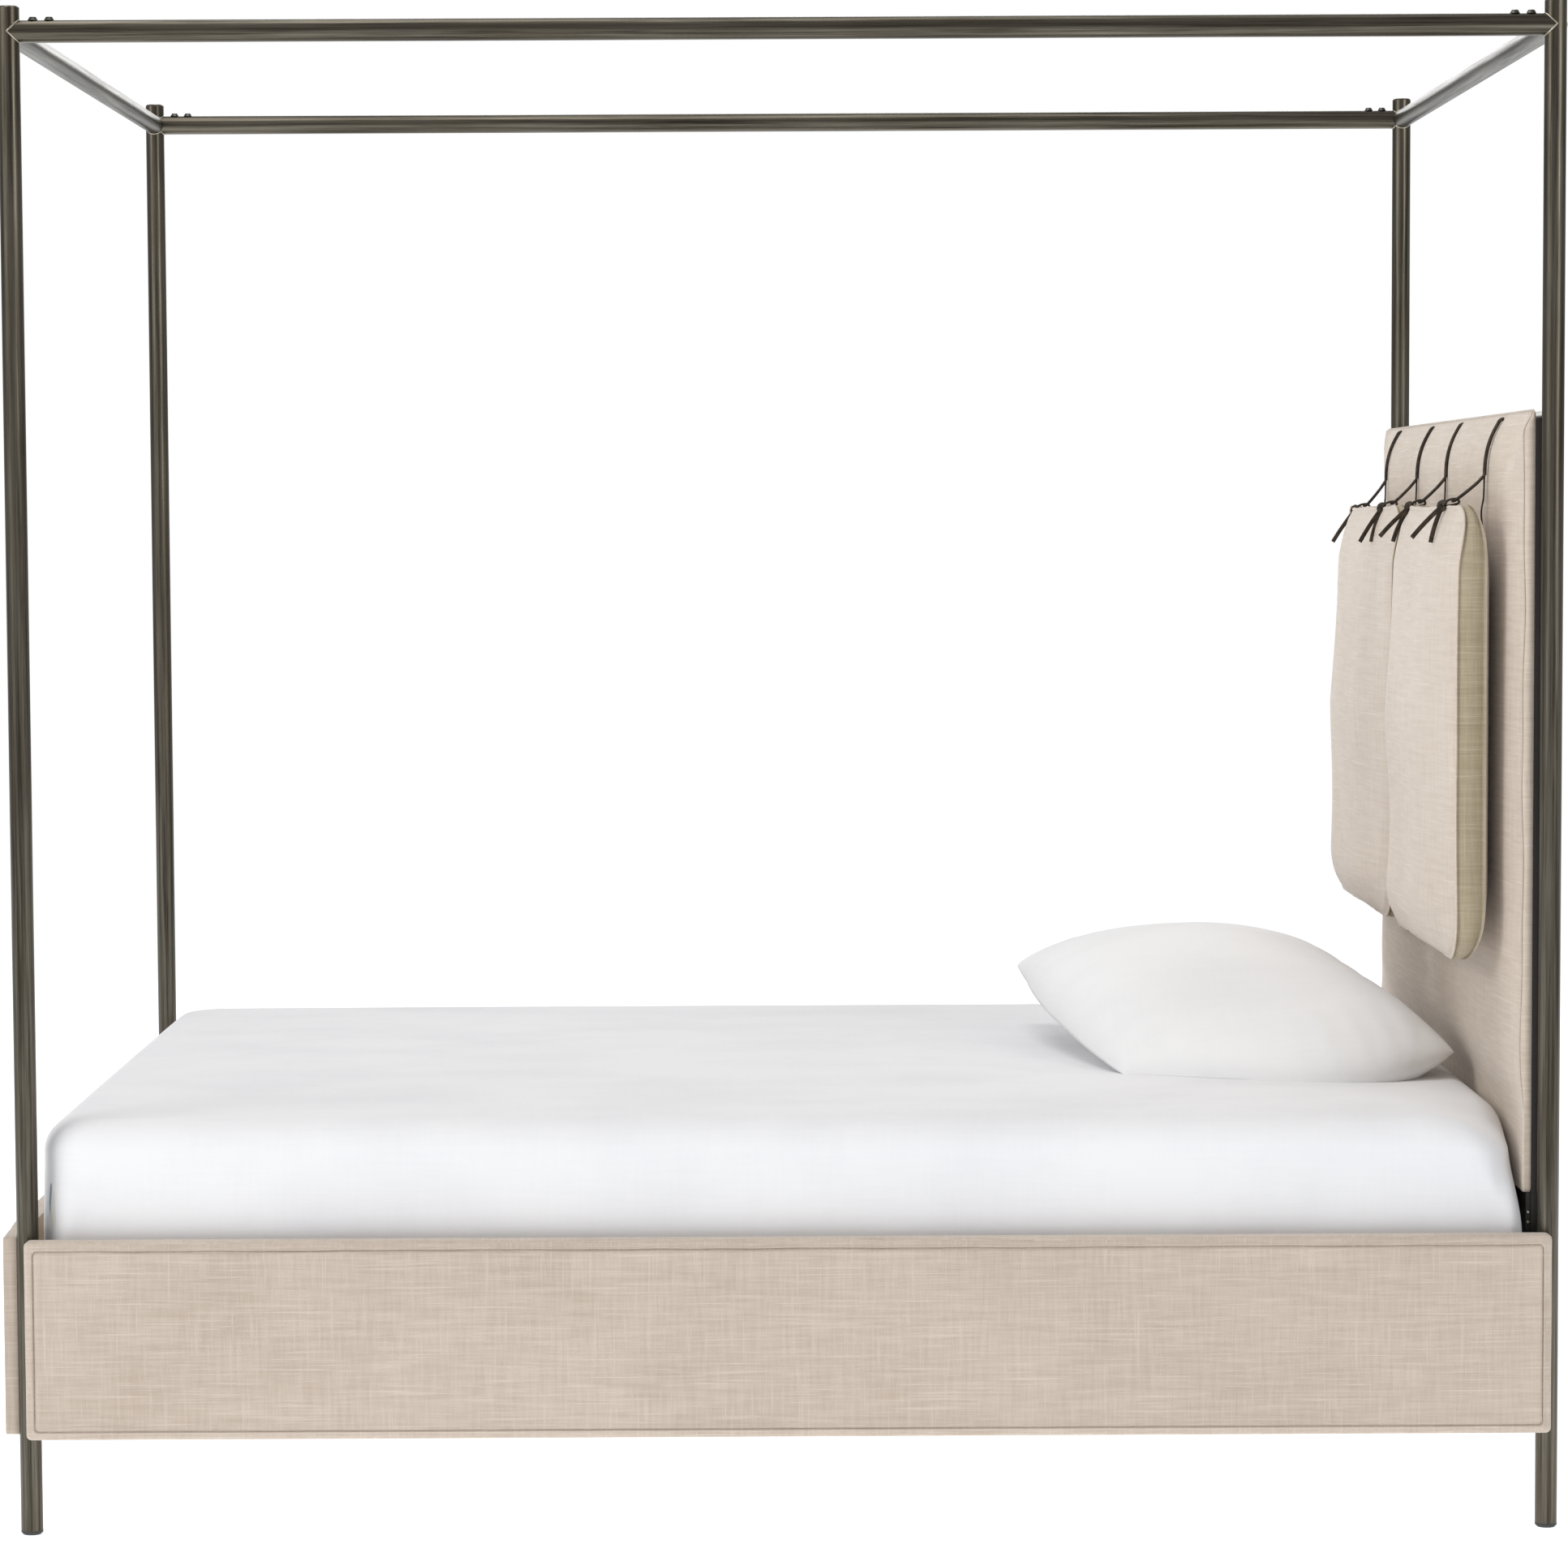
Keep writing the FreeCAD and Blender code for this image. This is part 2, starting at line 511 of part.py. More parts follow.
def makeFootRail():
    bolts, taps = [], []
    for side, sy in SIDES.items():
        def along(reach, sy=sy):
            return "foot_inner_x + bracket_thick", f"{sy} * (side_y - tube_r - {reach})"

        name = f"foot_bracket_{side}"
        new, holes, tapped = boltRow(name, "x", along)
        bolts += new
        taps += tapped
        x0, x1 = "foot_inner_x", "foot_inner_x + bracket_thick"
        x2 = "foot_inner_x + bracket_return"
        y0 = f"{sy} * (side_y - tube_r)"
        y1, y2 = f"{y0} - {sy} * bracket_thick", f"{y0} - {sy} * bracket_leg"
        bracket(name, [(x0, y0), (x2, y0), (x2, y1), (x1, y1), (x1, y2), (x0, y2)], holes)
    board = ("foot_board_x", "foot_inner_x", "-(side_y - cover_wrap)", "side_y - cover_wrap",
             "rail_bottom + cover_wrap", "rail_top - cover_wrap")
    node(cut("foot_board", box("foot_plank", *board), taps), "foot_rail_board")
    front = number("foot_outer_x")
    paddedCover("foot_rail_cover", ("foot_outer_x", "foot_inner_x", "-side_y", "side_y",
                                    "rail_bottom", "rail_top"), board,
                lambda p: abs(p.x - front) < 0.01)
    return bolts


# ---------------------------------------------------------------- slats and their support
def makeSlats():
    node(box("beam", "beam_foot_x", "beam_head_x", "-beam_width / 2", "beam_width / 2",
             "beam_bottom", "slat_bottom"), "centre_beam")
    glides = []
    for end, se in ENDS.items():
        x0, x1 = f"{end}_x - {se} * crossbar_r", f"beam_{end}_x"
        x2 = f"beam_{end}_x - {se} * hanger_lip"
        node(slabBody(f"hanger_{end}", "XZ_Plane", [
            (x0, "slat_bottom"), (x1, "slat_bottom"), (x1, "beam_bottom"), (x2, "beam_bottom"),
            (x2, "beam_bottom - hanger_thick"), (x0, "beam_bottom - hanger_thick")],
            "hanger_width"), f"beam_hanger_{end}")
        x = f"{se} * centre_leg_x"
        node(rod(f"leg_{end}", "z", (x, "0", "glide_thick"), "centre_leg_od / 2",
                 "beam_bottom - glide_thick"), f"centre_leg_{end}")
        rim = "centre_leg_od / 2"
        glides.append(turned(f"centre_glide_{end}", [
            ("0", "0"), (f"{rim} - glide_round", "0"), (rim, "glide_round"),
            (rim, "glide_thick"), ("0", "glide_thick")], x, "0"))
    node(group("centre_glide_set", glides), "centre_glides")

    slats, count = [], int(number("slat_count"))
    for k in range(count):
        x0 = (f"well_foot_x + slat_margin + {k} / {count - 1}"
              " * (well_head_x - well_foot_x - 2 * slat_margin - slat_width)")
        slats.append(box(f"slat_{k}", x0, f"{x0} + slat_width", "-(side_inner_y - slat_end_gap)",
                         "side_inner_y - slat_end_gap", "slat_bottom", "mattress_base"))
    node(group("slat_set", slats), "slats")
    tapes = [box(f"webbing_{side}", "well_foot_x + slat_margin", "well_head_x - slat_margin",
                 f"{sy} * (side_inner_y - webbing_in) - webbing_width / 2",
                 f"{sy} * (side_inner_y - webbing_in) + webbing_width / 2",
                 "slat_bottom - webbing_thick", "slat_bottom") for side, sy in SIDES.items()]
    node(group("webbing_set", tapes), "slat_webbing")


# ---------------------------------------------------------------- mattress, sheet, pillow
def mattressBlock(name, grow, base):
    """The mattress outline grown sideways and up, with rounded corners and top edges."""
    x0, x1 = f"mattress_foot_x - ({grow})", f"mattress_head_x + ({grow})"
    y = f"(mattress_width / 2 + ({grow}))"
    body = slabBody(name, "XY_Plane", [(x0, f"-{y}"), (x1, f"-{y}"), (x1, y), (x0, y)],
                    f"mattress_top + ({grow}) - ({base})", base, False)
    roundEdges(body, name + "_corners", f"mattress_corner + ({grow})", upright)
    roundEdges(body, name + "_rim", f"mattress_edge + ({grow})",
               lambda a, b: min(a.z, b.z) > number("mattress_top") - 0.01)
    return body


def makeBedding():
    node(mattressBlock("mattress_core", "0", "mattress_base"), "mattress")
    outer = mattressBlock("sheet_outside", "sheet_gap + sheet_thick", "mattress_base")
    inner = mattressBlock("sheet_inside", "sheet_gap", "mattress_base")
    node(cut("sheet_shell", outer, [inner]), "fitted_sheet")

    pillow = doc.addObject("PartDesign::Body", "pillow_fill")
    loft = pillow.newObject("PartDesign::AdditiveLoft", "pillow_loft")
    rings = []
    for k, (inset, lift) in enumerate((("pillow_foot_in", "0"), ("0", "pillow_seam"),
                                       ("pillow_top_in", "pillow_thick"))):
        u, v = f"(pillow_width / 2 - {inset})", f"(pillow_length / 2 - {inset})"
        rings.append(outline(pillow, f"pillow_ring_{k}", "XY_Plane",
                             [(f"-{u}", f"-{v}"), (u, f"-{v}"), (u, v), (f"-{u}", v)], lift))
    loft.Profile, loft.Sections = rings[0], rings[1:]
    loft.Ruled = True
    pillow.Placement = FreeCAD.Placement(V(), FreeCAD.Rotation(V(0, 0, 1), number("pillow_turn")))
    bind(pillow, x="pillow_x", y="pillow_y",
         z="mattress_top + sheet_gap + sheet_thick + pillow_rest_gap")
    node(pillow, "pillow")


# ---------------------------------------------------------------- hanging cushions and straps
def cushionOutline():
    """Side view of a hanging cushion: boxed edges with a deep crown in front, shallow behind."""
    half = [("cushion_rear_seam_x", "0"), ("cushion_seam_x", "0"),
            ("cushion_seam_x - 0.58 * cushion_crown", "33"),
            ("cushion_front_x + 0.05 * cushion_crown", "103")]
    top = [(x, f"cushion_top - {dz}") for x, dz in half]
    bottom = [(x, f"cushion_bottom + {dz}") for x, dz in reversed(half)]
    rear = [("cushion_back_x", "cushion_bottom + 38"), ("cushion_back_x", "cushion_top - 38")]
    return top + bottom + rear


def makeCushions():
    for side, sy in SIDES.items():
        middle = f"-{sy} * cushion_y"               # the sketch plane's normal is -Y
        node(slabBody(f"cushion_{side}", "XZ_Plane", cushionOutline(), "cushion_width", middle),
             f"hanging_cushion_{side}")
        straps, ties = [], []
        for k, share in enumerate((-0.5, 0.5)):
            spot = f"-{sy} * (cushion_y + {share} * strap_spread)"
            straps.append(slabBody(f"strap_{side}_{k}", "XZ_Plane", [
                ("pad_seam_x", "headboard_top"), ("pad_knee_x", "pad_knee_z"),
                ("headboard_front_x", "strap_bend_z"),
                ("headboard_front_x - strap_thick", "strap_bend_z"),
                ("pad_knee_x - strap_thick", "pad_knee_z"),
                ("pad_seam_x - strap_thick", "headboard_top")], "strap_width", spot))
            lie = "cushion_seam_x - 0.58 * cushion_crown - 0.3"
            end = "cushion_seam_x - 0.75 * cushion_crown - 0.3"
            ties.append(slabBody(f"tie_front_{side}_{k}", "XZ_Plane", [
                ("headboard_front_x - 1.25 * strap_thick", "strap_bend_z - 3"),
                ("cushion_seam_x + 1", "cushion_top + 1"),
                ("cushion_seam_x - 0.4", "cushion_top + 0.4"), (lie, "cushion_top - 33"),
                (end, "cushion_top - 65"), (f"{end} - 1.2 * strap_thick", "cushion_top - 65"),
                (f"{lie} - 1.2 * strap_thick", "cushion_top - 32"),
                ("cushion_seam_x - strap_thick", "cushion_top + 1 + strap_thick"),
                ("headboard_front_x - 1.9 * strap_thick", "strap_bend_z - 1")],
                "strap_width", spot))
            y = f"({sy} * (cushion_y + {share} * strap_spread))"
            ties.append(box(f"tie_back_{side}_{k}", "cushion_back_x",
                            "cushion_back_x + strap_thick", f"{y} - strap_width / 2",
                            f"{y} + strap_width / 2", "cushion_top - 70", "strap_bend_z - 3"))
        node(group(f"straps_{side}", straps), f"headboard_straps_{side}")
        node(group(f"ties_{side}", ties), f"cushion_ties_{side}")
        y0 = f"{sy} * (cushion_gap / 2 + zip_pull_in)"
        x0 = "cushion_seam_x + cushion_box / 2"
        node(box(f"zip_{side}", x0, f"{x0} + zip_pull_thick", f"{y0} - zip_pull_width / 2",
                 f"{y0} + zip_pull_width / 2", "cushion_bottom - zip_pull_length",
                 "cushion_bottom"), f"zip_pull_{side}")


makePosts()
makeCanopy()
makeHeadboard()
bracket_bolts, ledger_screws = makeSideRails()
bracket_bolts += makeFootRail()
node(group("bracket_bolt_set", bracket_bolts), "bracket_bolts")
node(group("ledger_screw_set", ledger_screws), "ledger_screws")
makeSlats()
makeBedding()
makeCushions()
doc.recompute()

# ---------------------------------------------------------------- checks and export
faults = [item.Label for item in doc.Objects if {"Invalid", "Error"} & set(item.State)]
faults += [item.Label for item in NODES if item.Shape.isNull() or not item.Shape.isValid()]
if faults:
    raise RuntimeError("failed to build: " + ", ".join(faults))
os.makedirs("parts", exist_ok=True)
for item in NODES:
    item.Shape.exportStep(os.path.join("parts", item.Label + ".step"))
    print(f"{item.Label:28s} solids {len(item.Shape.Solids):3d} volume {item.Shape.Volume:14.0f}")
print(len(NODES), "sub-parts")
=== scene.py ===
import bpy
import bmesh
import math
import numpy as np
from mathutils import Matrix, Vector


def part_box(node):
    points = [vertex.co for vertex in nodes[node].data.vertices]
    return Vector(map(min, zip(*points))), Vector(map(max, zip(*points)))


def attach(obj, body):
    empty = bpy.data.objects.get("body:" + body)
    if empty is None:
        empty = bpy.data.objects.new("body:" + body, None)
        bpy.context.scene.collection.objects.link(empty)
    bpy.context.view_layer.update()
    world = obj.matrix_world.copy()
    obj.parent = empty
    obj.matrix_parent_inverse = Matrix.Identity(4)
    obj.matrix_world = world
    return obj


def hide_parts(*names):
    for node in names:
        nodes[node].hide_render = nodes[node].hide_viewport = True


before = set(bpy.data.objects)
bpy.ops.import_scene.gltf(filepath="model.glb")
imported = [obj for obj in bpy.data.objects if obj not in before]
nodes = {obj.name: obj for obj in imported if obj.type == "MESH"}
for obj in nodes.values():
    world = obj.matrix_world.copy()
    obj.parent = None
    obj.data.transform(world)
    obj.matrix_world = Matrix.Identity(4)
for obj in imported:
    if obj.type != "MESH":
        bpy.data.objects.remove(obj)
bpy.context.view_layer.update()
scene = bpy.context.scene


def corners(node):
    low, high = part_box(node)
    return np.array(low), np.array(high)


# camera: a long lens at the side of the bed, a little above the mattress
cameraSettings = {
    "place": (-0.015, -7.119, 1.395), "lens": 107.44, "sensor": 36.0,
    "yaw": 0.043, "pitch": 3.98, "roll": 0.281, "shift": (0.0106, 0.0429),
}


def makeCamera(settings):
    data = bpy.data.cameras.new("camera")
    data.sensor_width, data.lens = settings["sensor"], settings["lens"]
    data.shift_x, data.shift_y = settings["shift"]
    data.clip_end = 60
    camera = bpy.data.objects.new("camera", data)
    scene.collection.objects.link(camera)
    yaw, pitch, roll = (math.radians(settings[key]) for key in ("yaw", "pitch", "roll"))
    ahead = Vector((math.sin(yaw) * math.cos(pitch), math.cos(yaw) * math.cos(pitch), -math.sin(pitch)))
    right = Vector((math.cos(yaw), -math.sin(yaw), 0))
    down = ahead.cross(right)
    rolledRight = right * math.cos(roll) + down * math.sin(roll)
    rolledDown = down * math.cos(roll) - right * math.sin(roll)
    turn = Matrix((rolledRight, -rolledDown, -ahead)).transposed()
    camera.matrix_world = Matrix.Translation(settings["place"]) @ turn.to_4x4()
    scene.camera = camera


# studio: pale floor, big soft lamps and an even pale sky
studioSettings = {
    "floorHalf": 14.0, "floorColour": (0.9, 0.9, 0.9), "floorGlow": 0.72, "glowTint": (0.9, 0.95, 1.0),
    "skySeen": 1.0, "skyStrength": 0.4,
    # each lamp: place, target, width, power, colour
    "lamps": [((-5.4, -4.2, 4.4), (0.3, 0, 0.9), 4.2, 205, (1.0, 0.985, 0.965)),
    ((4.8, -5.0, 2.6), (0.4, 0, 0.9), 2.4, 62, (1.0, 0.99, 0.98)),
    ((-0.8, -0.4, 5.6), (0, 0, 0.5), 3.6, 84, (1.0, 1.0, 1.0)),
    ((0.5, 5.5, 4.2), (0, 0, 1.0), 4.0, 90, (0.97, 0.985, 1.0))],
}


def makeStudio(settings):
    half = settings["floorHalf"]
    mesh = bpy.data.meshes.new("studioFloor")
    mesh.from_pydata([(-half, -half, 0), (half, -half, 0), (half, half, 0), (-half, half, 0)], [], [(0, 1, 2, 3)])
    floor = bpy.data.objects.new("studioFloor", mesh)
    scene.collection.objects.link(floor)
    floor.data.materials.append(floorPaint(settings))
    for k, (place, target, size, power, colour) in enumerate(settings["lamps"]):
        lamp = bpy.data.lights.new(f"lamp{k}", "AREA")
        lamp.shape, lamp.size, lamp.energy, lamp.color = "DISK", size, power, colour
        item = bpy.data.objects.new(f"lamp{k}", lamp)
        aim = (Vector(target) - Vector(place)).to_track_quat("-Z", "Y")
        item.matrix_world = Matrix.Translation(place) @ aim.to_matrix().to_4x4()
        scene.collection.objects.link(item)
    world = bpy.data.worlds.new("paleSky")
    world.use_nodes = True
    world.node_tree.nodes.clear()
    wires = Wires(world.node_tree)
    # the sky is white where it is seen, and dimmer as a light
    seen, lit = (wires.add("ShaderNodeBackground", {"Color": (1, 1, 1, 1), "Strength": settings[key]}).outputs[0]
        for key in ("skySeen", "skyStrength"))
    path = wires.add("ShaderNodeLightPath")
    either = wires.add("ShaderNodeMixShader", {0: path.outputs["Is Camera Ray"], 1: lit, 2: seen})
    wires.add("ShaderNodeOutputWorld", {0: either.outputs[0]})
    scene.world = world
    scene.view_settings.view_transform = "Standard"


# node helpers
class Wires:
    # adds nodes and joins them inside one material or group
    def __init__(self, tree):
        self.tree = tree

    def add(self, kind, values=None, **attributes):
        item = self.tree.nodes.new(kind)
        for key, value in attributes.items():
            setattr(item, key, value)
        for key, value in (values or {}).items():
            if isinstance(value, bpy.types.NodeSocket):
                self.tree.links.new(value, item.inputs[key])
            else:
                item.inputs[key].default_value = value
        return item

    def place(self):
        return self.add("ShaderNodeTexCoord").outputs["Object"]

    def cloth(self):
        return self.add("ShaderNodeUVMap", uv_map="cloth").outputs[0]

    def math(self, operation, a, b=0.0):
        return self.add("ShaderNodeMath", {0: a, 1: b}, operation=operation).outputs[0]

    def times(self, a, b):
        return self.math("MULTIPLY", a, b)

    def plus(self, a, b):
        return self.math("ADD", a, b)

    def mix(self, share, a, b):
        return self.add("ShaderNodeMix", {0: share, 6: a, 7: b}, data_type="RGBA").outputs[2]

    def stretch(self, vector, scale, turn=(0, 0, 0)):
        return self.add("ShaderNodeMapping", {"Vector": vector, "Scale": scale, "Rotation": turn}).outputs[0]

    def noise(self, vector, scale, detail=2.0, roughness=0.5):
        return self.add("ShaderNodeTexNoise", {"Vector": vector, "Scale": scale, "Detail": detail,
            "Roughness": roughness}).outputs[0]

    def span(self, value, low, high, toLow=0.0, toHigh=1.0):
        return self.add("ShaderNodeMapRange", {"Value": value, "From Min": low, "From Max": high,
            "To Min": toLow, "To Max": toHigh}).outputs[0]

    def bump(self, height, strength, distance):
        return self.add("ShaderNodeBump", {"Height": height, "Strength": strength, "Distance": distance}).outputs[0]

    def group(self, key, **values):
        return self.add("ShaderNodeGroup", values, node_tree=groups[key]).outputs

    def finish(self, **links):
        # joins the results to a material's shader or a group's outputs
        for label, socket in links.items():
            self.tree.links.new(socket, self.ends[label.replace("_", " ")])
        return self.made


def newGroup(name, inputs, outputs):
    tree = bpy.data.node_groups.new(name, "ShaderNodeTree")
    for label, kind, value in inputs:
        socket = tree.interface.new_socket(label, in_out="INPUT", socket_type="NodeSocket" + kind)
        if value is not None:
            socket.default_value = value
    for label, kind in outputs:
        tree.interface.new_socket(label, in_out="OUTPUT", socket_type="NodeSocket" + kind)
    wires = Wires(tree)
    given = wires.add("NodeGroupInput").outputs
    wires.ends, wires.made = wires.add("NodeGroupOutput").inputs, tree
    return wires, given


def makeWeaveGroup():
    # plain weave: long thin noise each way picks the slubs, two crossed sine bands are the yarns
    wires, given = newGroup("yarnWeave", [
        ("Vector", "Vector", None), ("Yarn", "Float", 900.0), ("Slub", "Float", 1.0), ("Mottle", "Float", 1.0)],
        [("Slubs", "Float"), ("Shade", "Float"), ("Height", "Float")])
    vector = given["Vector"]
    layers = []
    for scale, low in (((7, 330, 1), 0.575), ((300, 9, 1), 0.6), ((16, 620, 1), 0.56), ((540, 20, 1), 0.585)):
        yarn = wires.noise(wires.stretch(vector, scale), 1.0, 1.5, 0.5)
        layers.append(wires.span(yarn, low, low + 0.13))
    across = wires.math("MAXIMUM", layers[0], wires.times(layers[2], 0.7))
    upward = wires.math("MAXIMUM", layers[1], wires.times(layers[3], 0.7))
    slubs = wires.times(wires.math("MAXIMUM", across, wires.times(upward, 0.8)), given["Slub"])
    broad = wires.noise(vector, 3.2, 3.0)
    streaks = wires.noise(wires.stretch(vector, (10, 150, 1)), 1.0, 3.0, 0.6)
    columns = wires.noise(wires.stretch(vector, (170, 12, 1)), 1.0, 3.0, 0.6)
    lines = wires.plus(wires.times(streaks, 0.45), wires.times(columns, 0.35))
    tone = wires.plus(wires.times(broad, 0.35), lines)
    shade = wires.times(wires.math("SUBTRACT", tone, 0.575), given["Mottle"])
    split = wires.add("ShaderNodeSeparateXYZ", {0: vector}).outputs
    bands = [wires.math("SINE", wires.times(split[k], given["Yarn"])) for k in (0, 1)]
    crossing = wires.times(bands[0], bands[1])
    height = wires.plus(wires.times(crossing, 0.35), wires.times(slubs, 0.9))
    return wires.finish(Slubs=slubs, Shade=shade, Height=height)


def makeStreakGroup():
    # brushed metal: noise drawn out along one axis, whose light streaks are partly brushing and partly painted
    # highlight, plus a slow cloud for the hand-rubbed tone
    wires, given = newGroup("brushedAndHighlightStreaks", [
        ("Vector", "Vector", None), ("Scale", "Vector", None)], [("Streaks", "Float"), ("Cloud", "Float")])
    drawn = wires.add("ShaderNodeVectorMath", {0: given["Vector"], 1: given["Scale"]}, operation="MULTIPLY").outputs[0]
    streaks = wires.noise(drawn, 1.0, 4.0, 0.65)
    cloud = wires.noise(given["Vector"], 5.0, 3.0, 0.6)
    return wires.finish(Streaks=streaks, Cloud=cloud)


def makeGrainGroup():
    # timber: rings bent by noise along the board, and short pores
    wires, given = newGroup("timberGrain", [
        ("Vector", "Vector", None), ("Rings", "Float", 30.0)], [("Bands", "Float"), ("Pores", "Float")])
    bent = wires.noise(given["Vector"], 1.6, 3.0)
    split = wires.add("ShaderNodeSeparateXYZ", {0: given["Vector"]}).outputs
    across = wires.plus(split[1], wires.times(bent, 0.35))
    ring = wires.math("SINE", wires.times(across, given["Rings"]))
    bands = wires.span(ring, -1, 1)
    pores = wires.span(wires.noise(wires.stretch(given["Vector"], (6, 160, 160)), 3.0, 2.0), 0.5, 0.7)
    return wires.finish(Bands=bands, Pores=pores)


groups = {"weave": makeWeaveGroup(), "streaks": makeStreakGroup(), "grain": makeGrainGroup()}


def newMaterial(name, **sockets):
    material = bpy.data.materials.new(name)
    material.use_nodes = True
    material.node_tree.nodes.clear()
    wires = Wires(material.node_tree)
    shader = wires.add("ShaderNodeBsdfPrincipled", {key.replace("_", " "): value for key, value in sockets.items()})
    wires.add("ShaderNodeOutputMaterial", {0: shader.outputs[0]})
    wires.ends, wires.made = shader.inputs, material
    return wires


def floorPaint(settings):
    colour = settings["floorColour"]
    wires = newMaterial("floorPaint", Roughness=0.9, Emission_Color=(*settings["glowTint"], 1),
        Emission_Strength=settings["floorGlow"])
    place = wires.place()
    tone = wires.span(wires.noise(place, 0.8, 2.0), 0.3, 0.7)
    return wires.finish(Base_Color=wires.mix(tone, (*colour, 1), (*[c * 1.02 for c in colour], 1)))


def linenCloth(name, dark, base, light, slub):
    wires = newMaterial(name, Roughness=0.92, Sheen_Weight=0.25, Sheen_Roughness=0.5,
        Specular_IOR_Level=0.2)
    vector = wires.cloth()
    weave = wires.group("weave", Vector=vector, Yarn=2600.0, Slub=1.0, Mottle=1.0)
    share = wires.span(weave["Shade"], -0.12, 0.12)
    tone = wires.mix(share, (*dark, 1), (*base, 1))
    tone = wires.mix(wires.times(weave["Slubs"], slub), tone, (*light, 1))
    return wires.finish(Base_Color=tone, Normal=wires.bump(weave["Height"], 0.25, 0.0004),
        Roughness=wires.span(weave["Slubs"], 0, 1, 0.94, 0.8))


def cottonCloth(name, shadow, base, crease):
    wires = newMaterial(name, Roughness=0.85, Sheen_Weight=0.15, Specular_IOR_Level=0.25)
    texture = wires.place()
    vector = wires.cloth()
    weave = wires.group("weave", Vector=vector, Yarn=5200.0, Slub=0.25, Mottle=0.5)
    folds = wires.noise(wires.stretch(texture, (1.0, 1.4, 1.0)), 3.5, 3.0, 0.55)
    height = wires.plus(wires.times(folds, crease), wires.times(weave["Height"], 0.05))
    tone = wires.mix(wires.span(wires.plus(weave["Shade"], folds), 0.3, 0.6), (*shadow, 1), (*base, 1))
    return wires.finish(Base_Color=tone, Normal=wires.bump(height, 0.5, 0.004))


def tickingCloth(name):
    wires = newMaterial(name, Roughness=0.85, Sheen_Weight=0.1)
    vector = wires.cloth()
    weave = wires.group("weave", Vector=vector, Yarn=3200.0, Slub=0.2, Mottle=0.5)
    split = wires.add("ShaderNodeSeparateXYZ", {0: vector}).outputs
    stripe = wires.span(wires.math("SINE", wires.times(split[0], 210.0)), 0.86, 0.95)
    tone = wires.mix(stripe, (0.78, 0.76, 0.71, 1), (0.25, 0.33, 0.45, 1))
    return wires.finish(Base_Color=tone, Normal=wires.bump(weave["Height"], 0.3, 0.0005))


def bronzeMetal(name, scale):
    wires = newMaterial(name, Metallic=1.0, Roughness=0.34)
    texture = wires.place()
    rub = wires.group("streaks", Vector=texture, Scale=scale)
    # streaks run from the dark tone to a light tone: partly brushed grain, partly painted highlight bands along the
    # tubes
    tone = wires.mix(wires.span(rub["Streaks"], 0.36, 0.68), (0.045, 0.039, 0.029, 1), (0.175, 0.158, 0.126, 1))
    tone = wires.mix(wires.span(rub["Cloud"], 0.45, 0.75, 0.0, 0.4), tone, (0.085, 0.068, 0.047, 1))
    return wires.finish(Base_Color=tone, Roughness=wires.span(rub["Streaks"], 0.3, 0.7, 0.4, 0.28),
        Normal=wires.bump(rub["Streaks"], 0.08, 0.0003))


def darkSteel(name, colour, roughness, grain, metallic=1.0):
    wires = newMaterial(name, Metallic=metallic, Roughness=roughness)
    texture = wires.place()
    fine = wires.noise(texture, grain, 3.0, 0.6)
    tone = wires.mix(wires.span(fine, 0.35, 0.65), (*colour, 1), (*[c * 1.45 for c in colour], 1))
    return wires.finish(Base_Color=tone, Roughness=wires.span(fine, 0.3, 0.7, roughness - 0.06, roughness + 0.1),
        Normal=wires.bump(fine, 0.2, 0.0004))


def timber(name, pale, dark, rings, turn=(0, 0, 0)):
    wires = newMaterial(name, Roughness=0.6)
    texture = wires.place()
    grain = wires.group("grain", Vector=wires.stretch(texture, (1, 1, 1), turn), Rings=rings)
    tone = wires.mix(wires.times(grain["Bands"], 0.55), (*pale, 1), (*dark, 1))
    tone = wires.mix(wires.times(grain["Pores"], 0.35), tone, (*[c * 0.55 for c in dark], 1))
    return wires.finish(Base_Color=tone, Normal=wires.bump(grain["Pores"], 0.15, 0.0004),
        Roughness=wires.span(grain["Bands"], 0, 1, 0.52, 0.68))


def leatherStrap(name):
    wires = newMaterial(name, Roughness=0.55, Specular_IOR_Level=0.35)
    texture = wires.place()
    cells = wires.add("ShaderNodeTexVoronoi", {"Vector": texture, "Scale": 900.0},
        feature="DISTANCE_TO_EDGE").outputs[0]
    wear = wires.noise(texture, 120.0, 3.0)
    tone = wires.mix(wires.span(wear, 0.4, 0.7), (0.02, 0.014, 0.009, 1), (0.062, 0.043, 0.026, 1))
    return wires.finish(Base_Color=tone, Normal=wires.bump(wires.span(cells, 0.0, 0.15), 0.4, 0.0002),
        Roughness=wires.span(wear, 0.3, 0.7, 0.62, 0.45))


def tapeCloth(name):
    wires = newMaterial(name, Roughness=0.9)
    weave = wires.group("weave", Vector=wires.place(), Yarn=3000.0, Slub=0.5, Mottle=1.0)
    tone = wires.mix(wires.span(weave["Shade"], -0.12, 0.12), (0.55, 0.52, 0.45, 1), (0.72, 0.69, 0.62, 1))
    return wires.finish(Base_Color=tone, Normal=wires.bump(weave["Height"], 0.4, 0.0006))


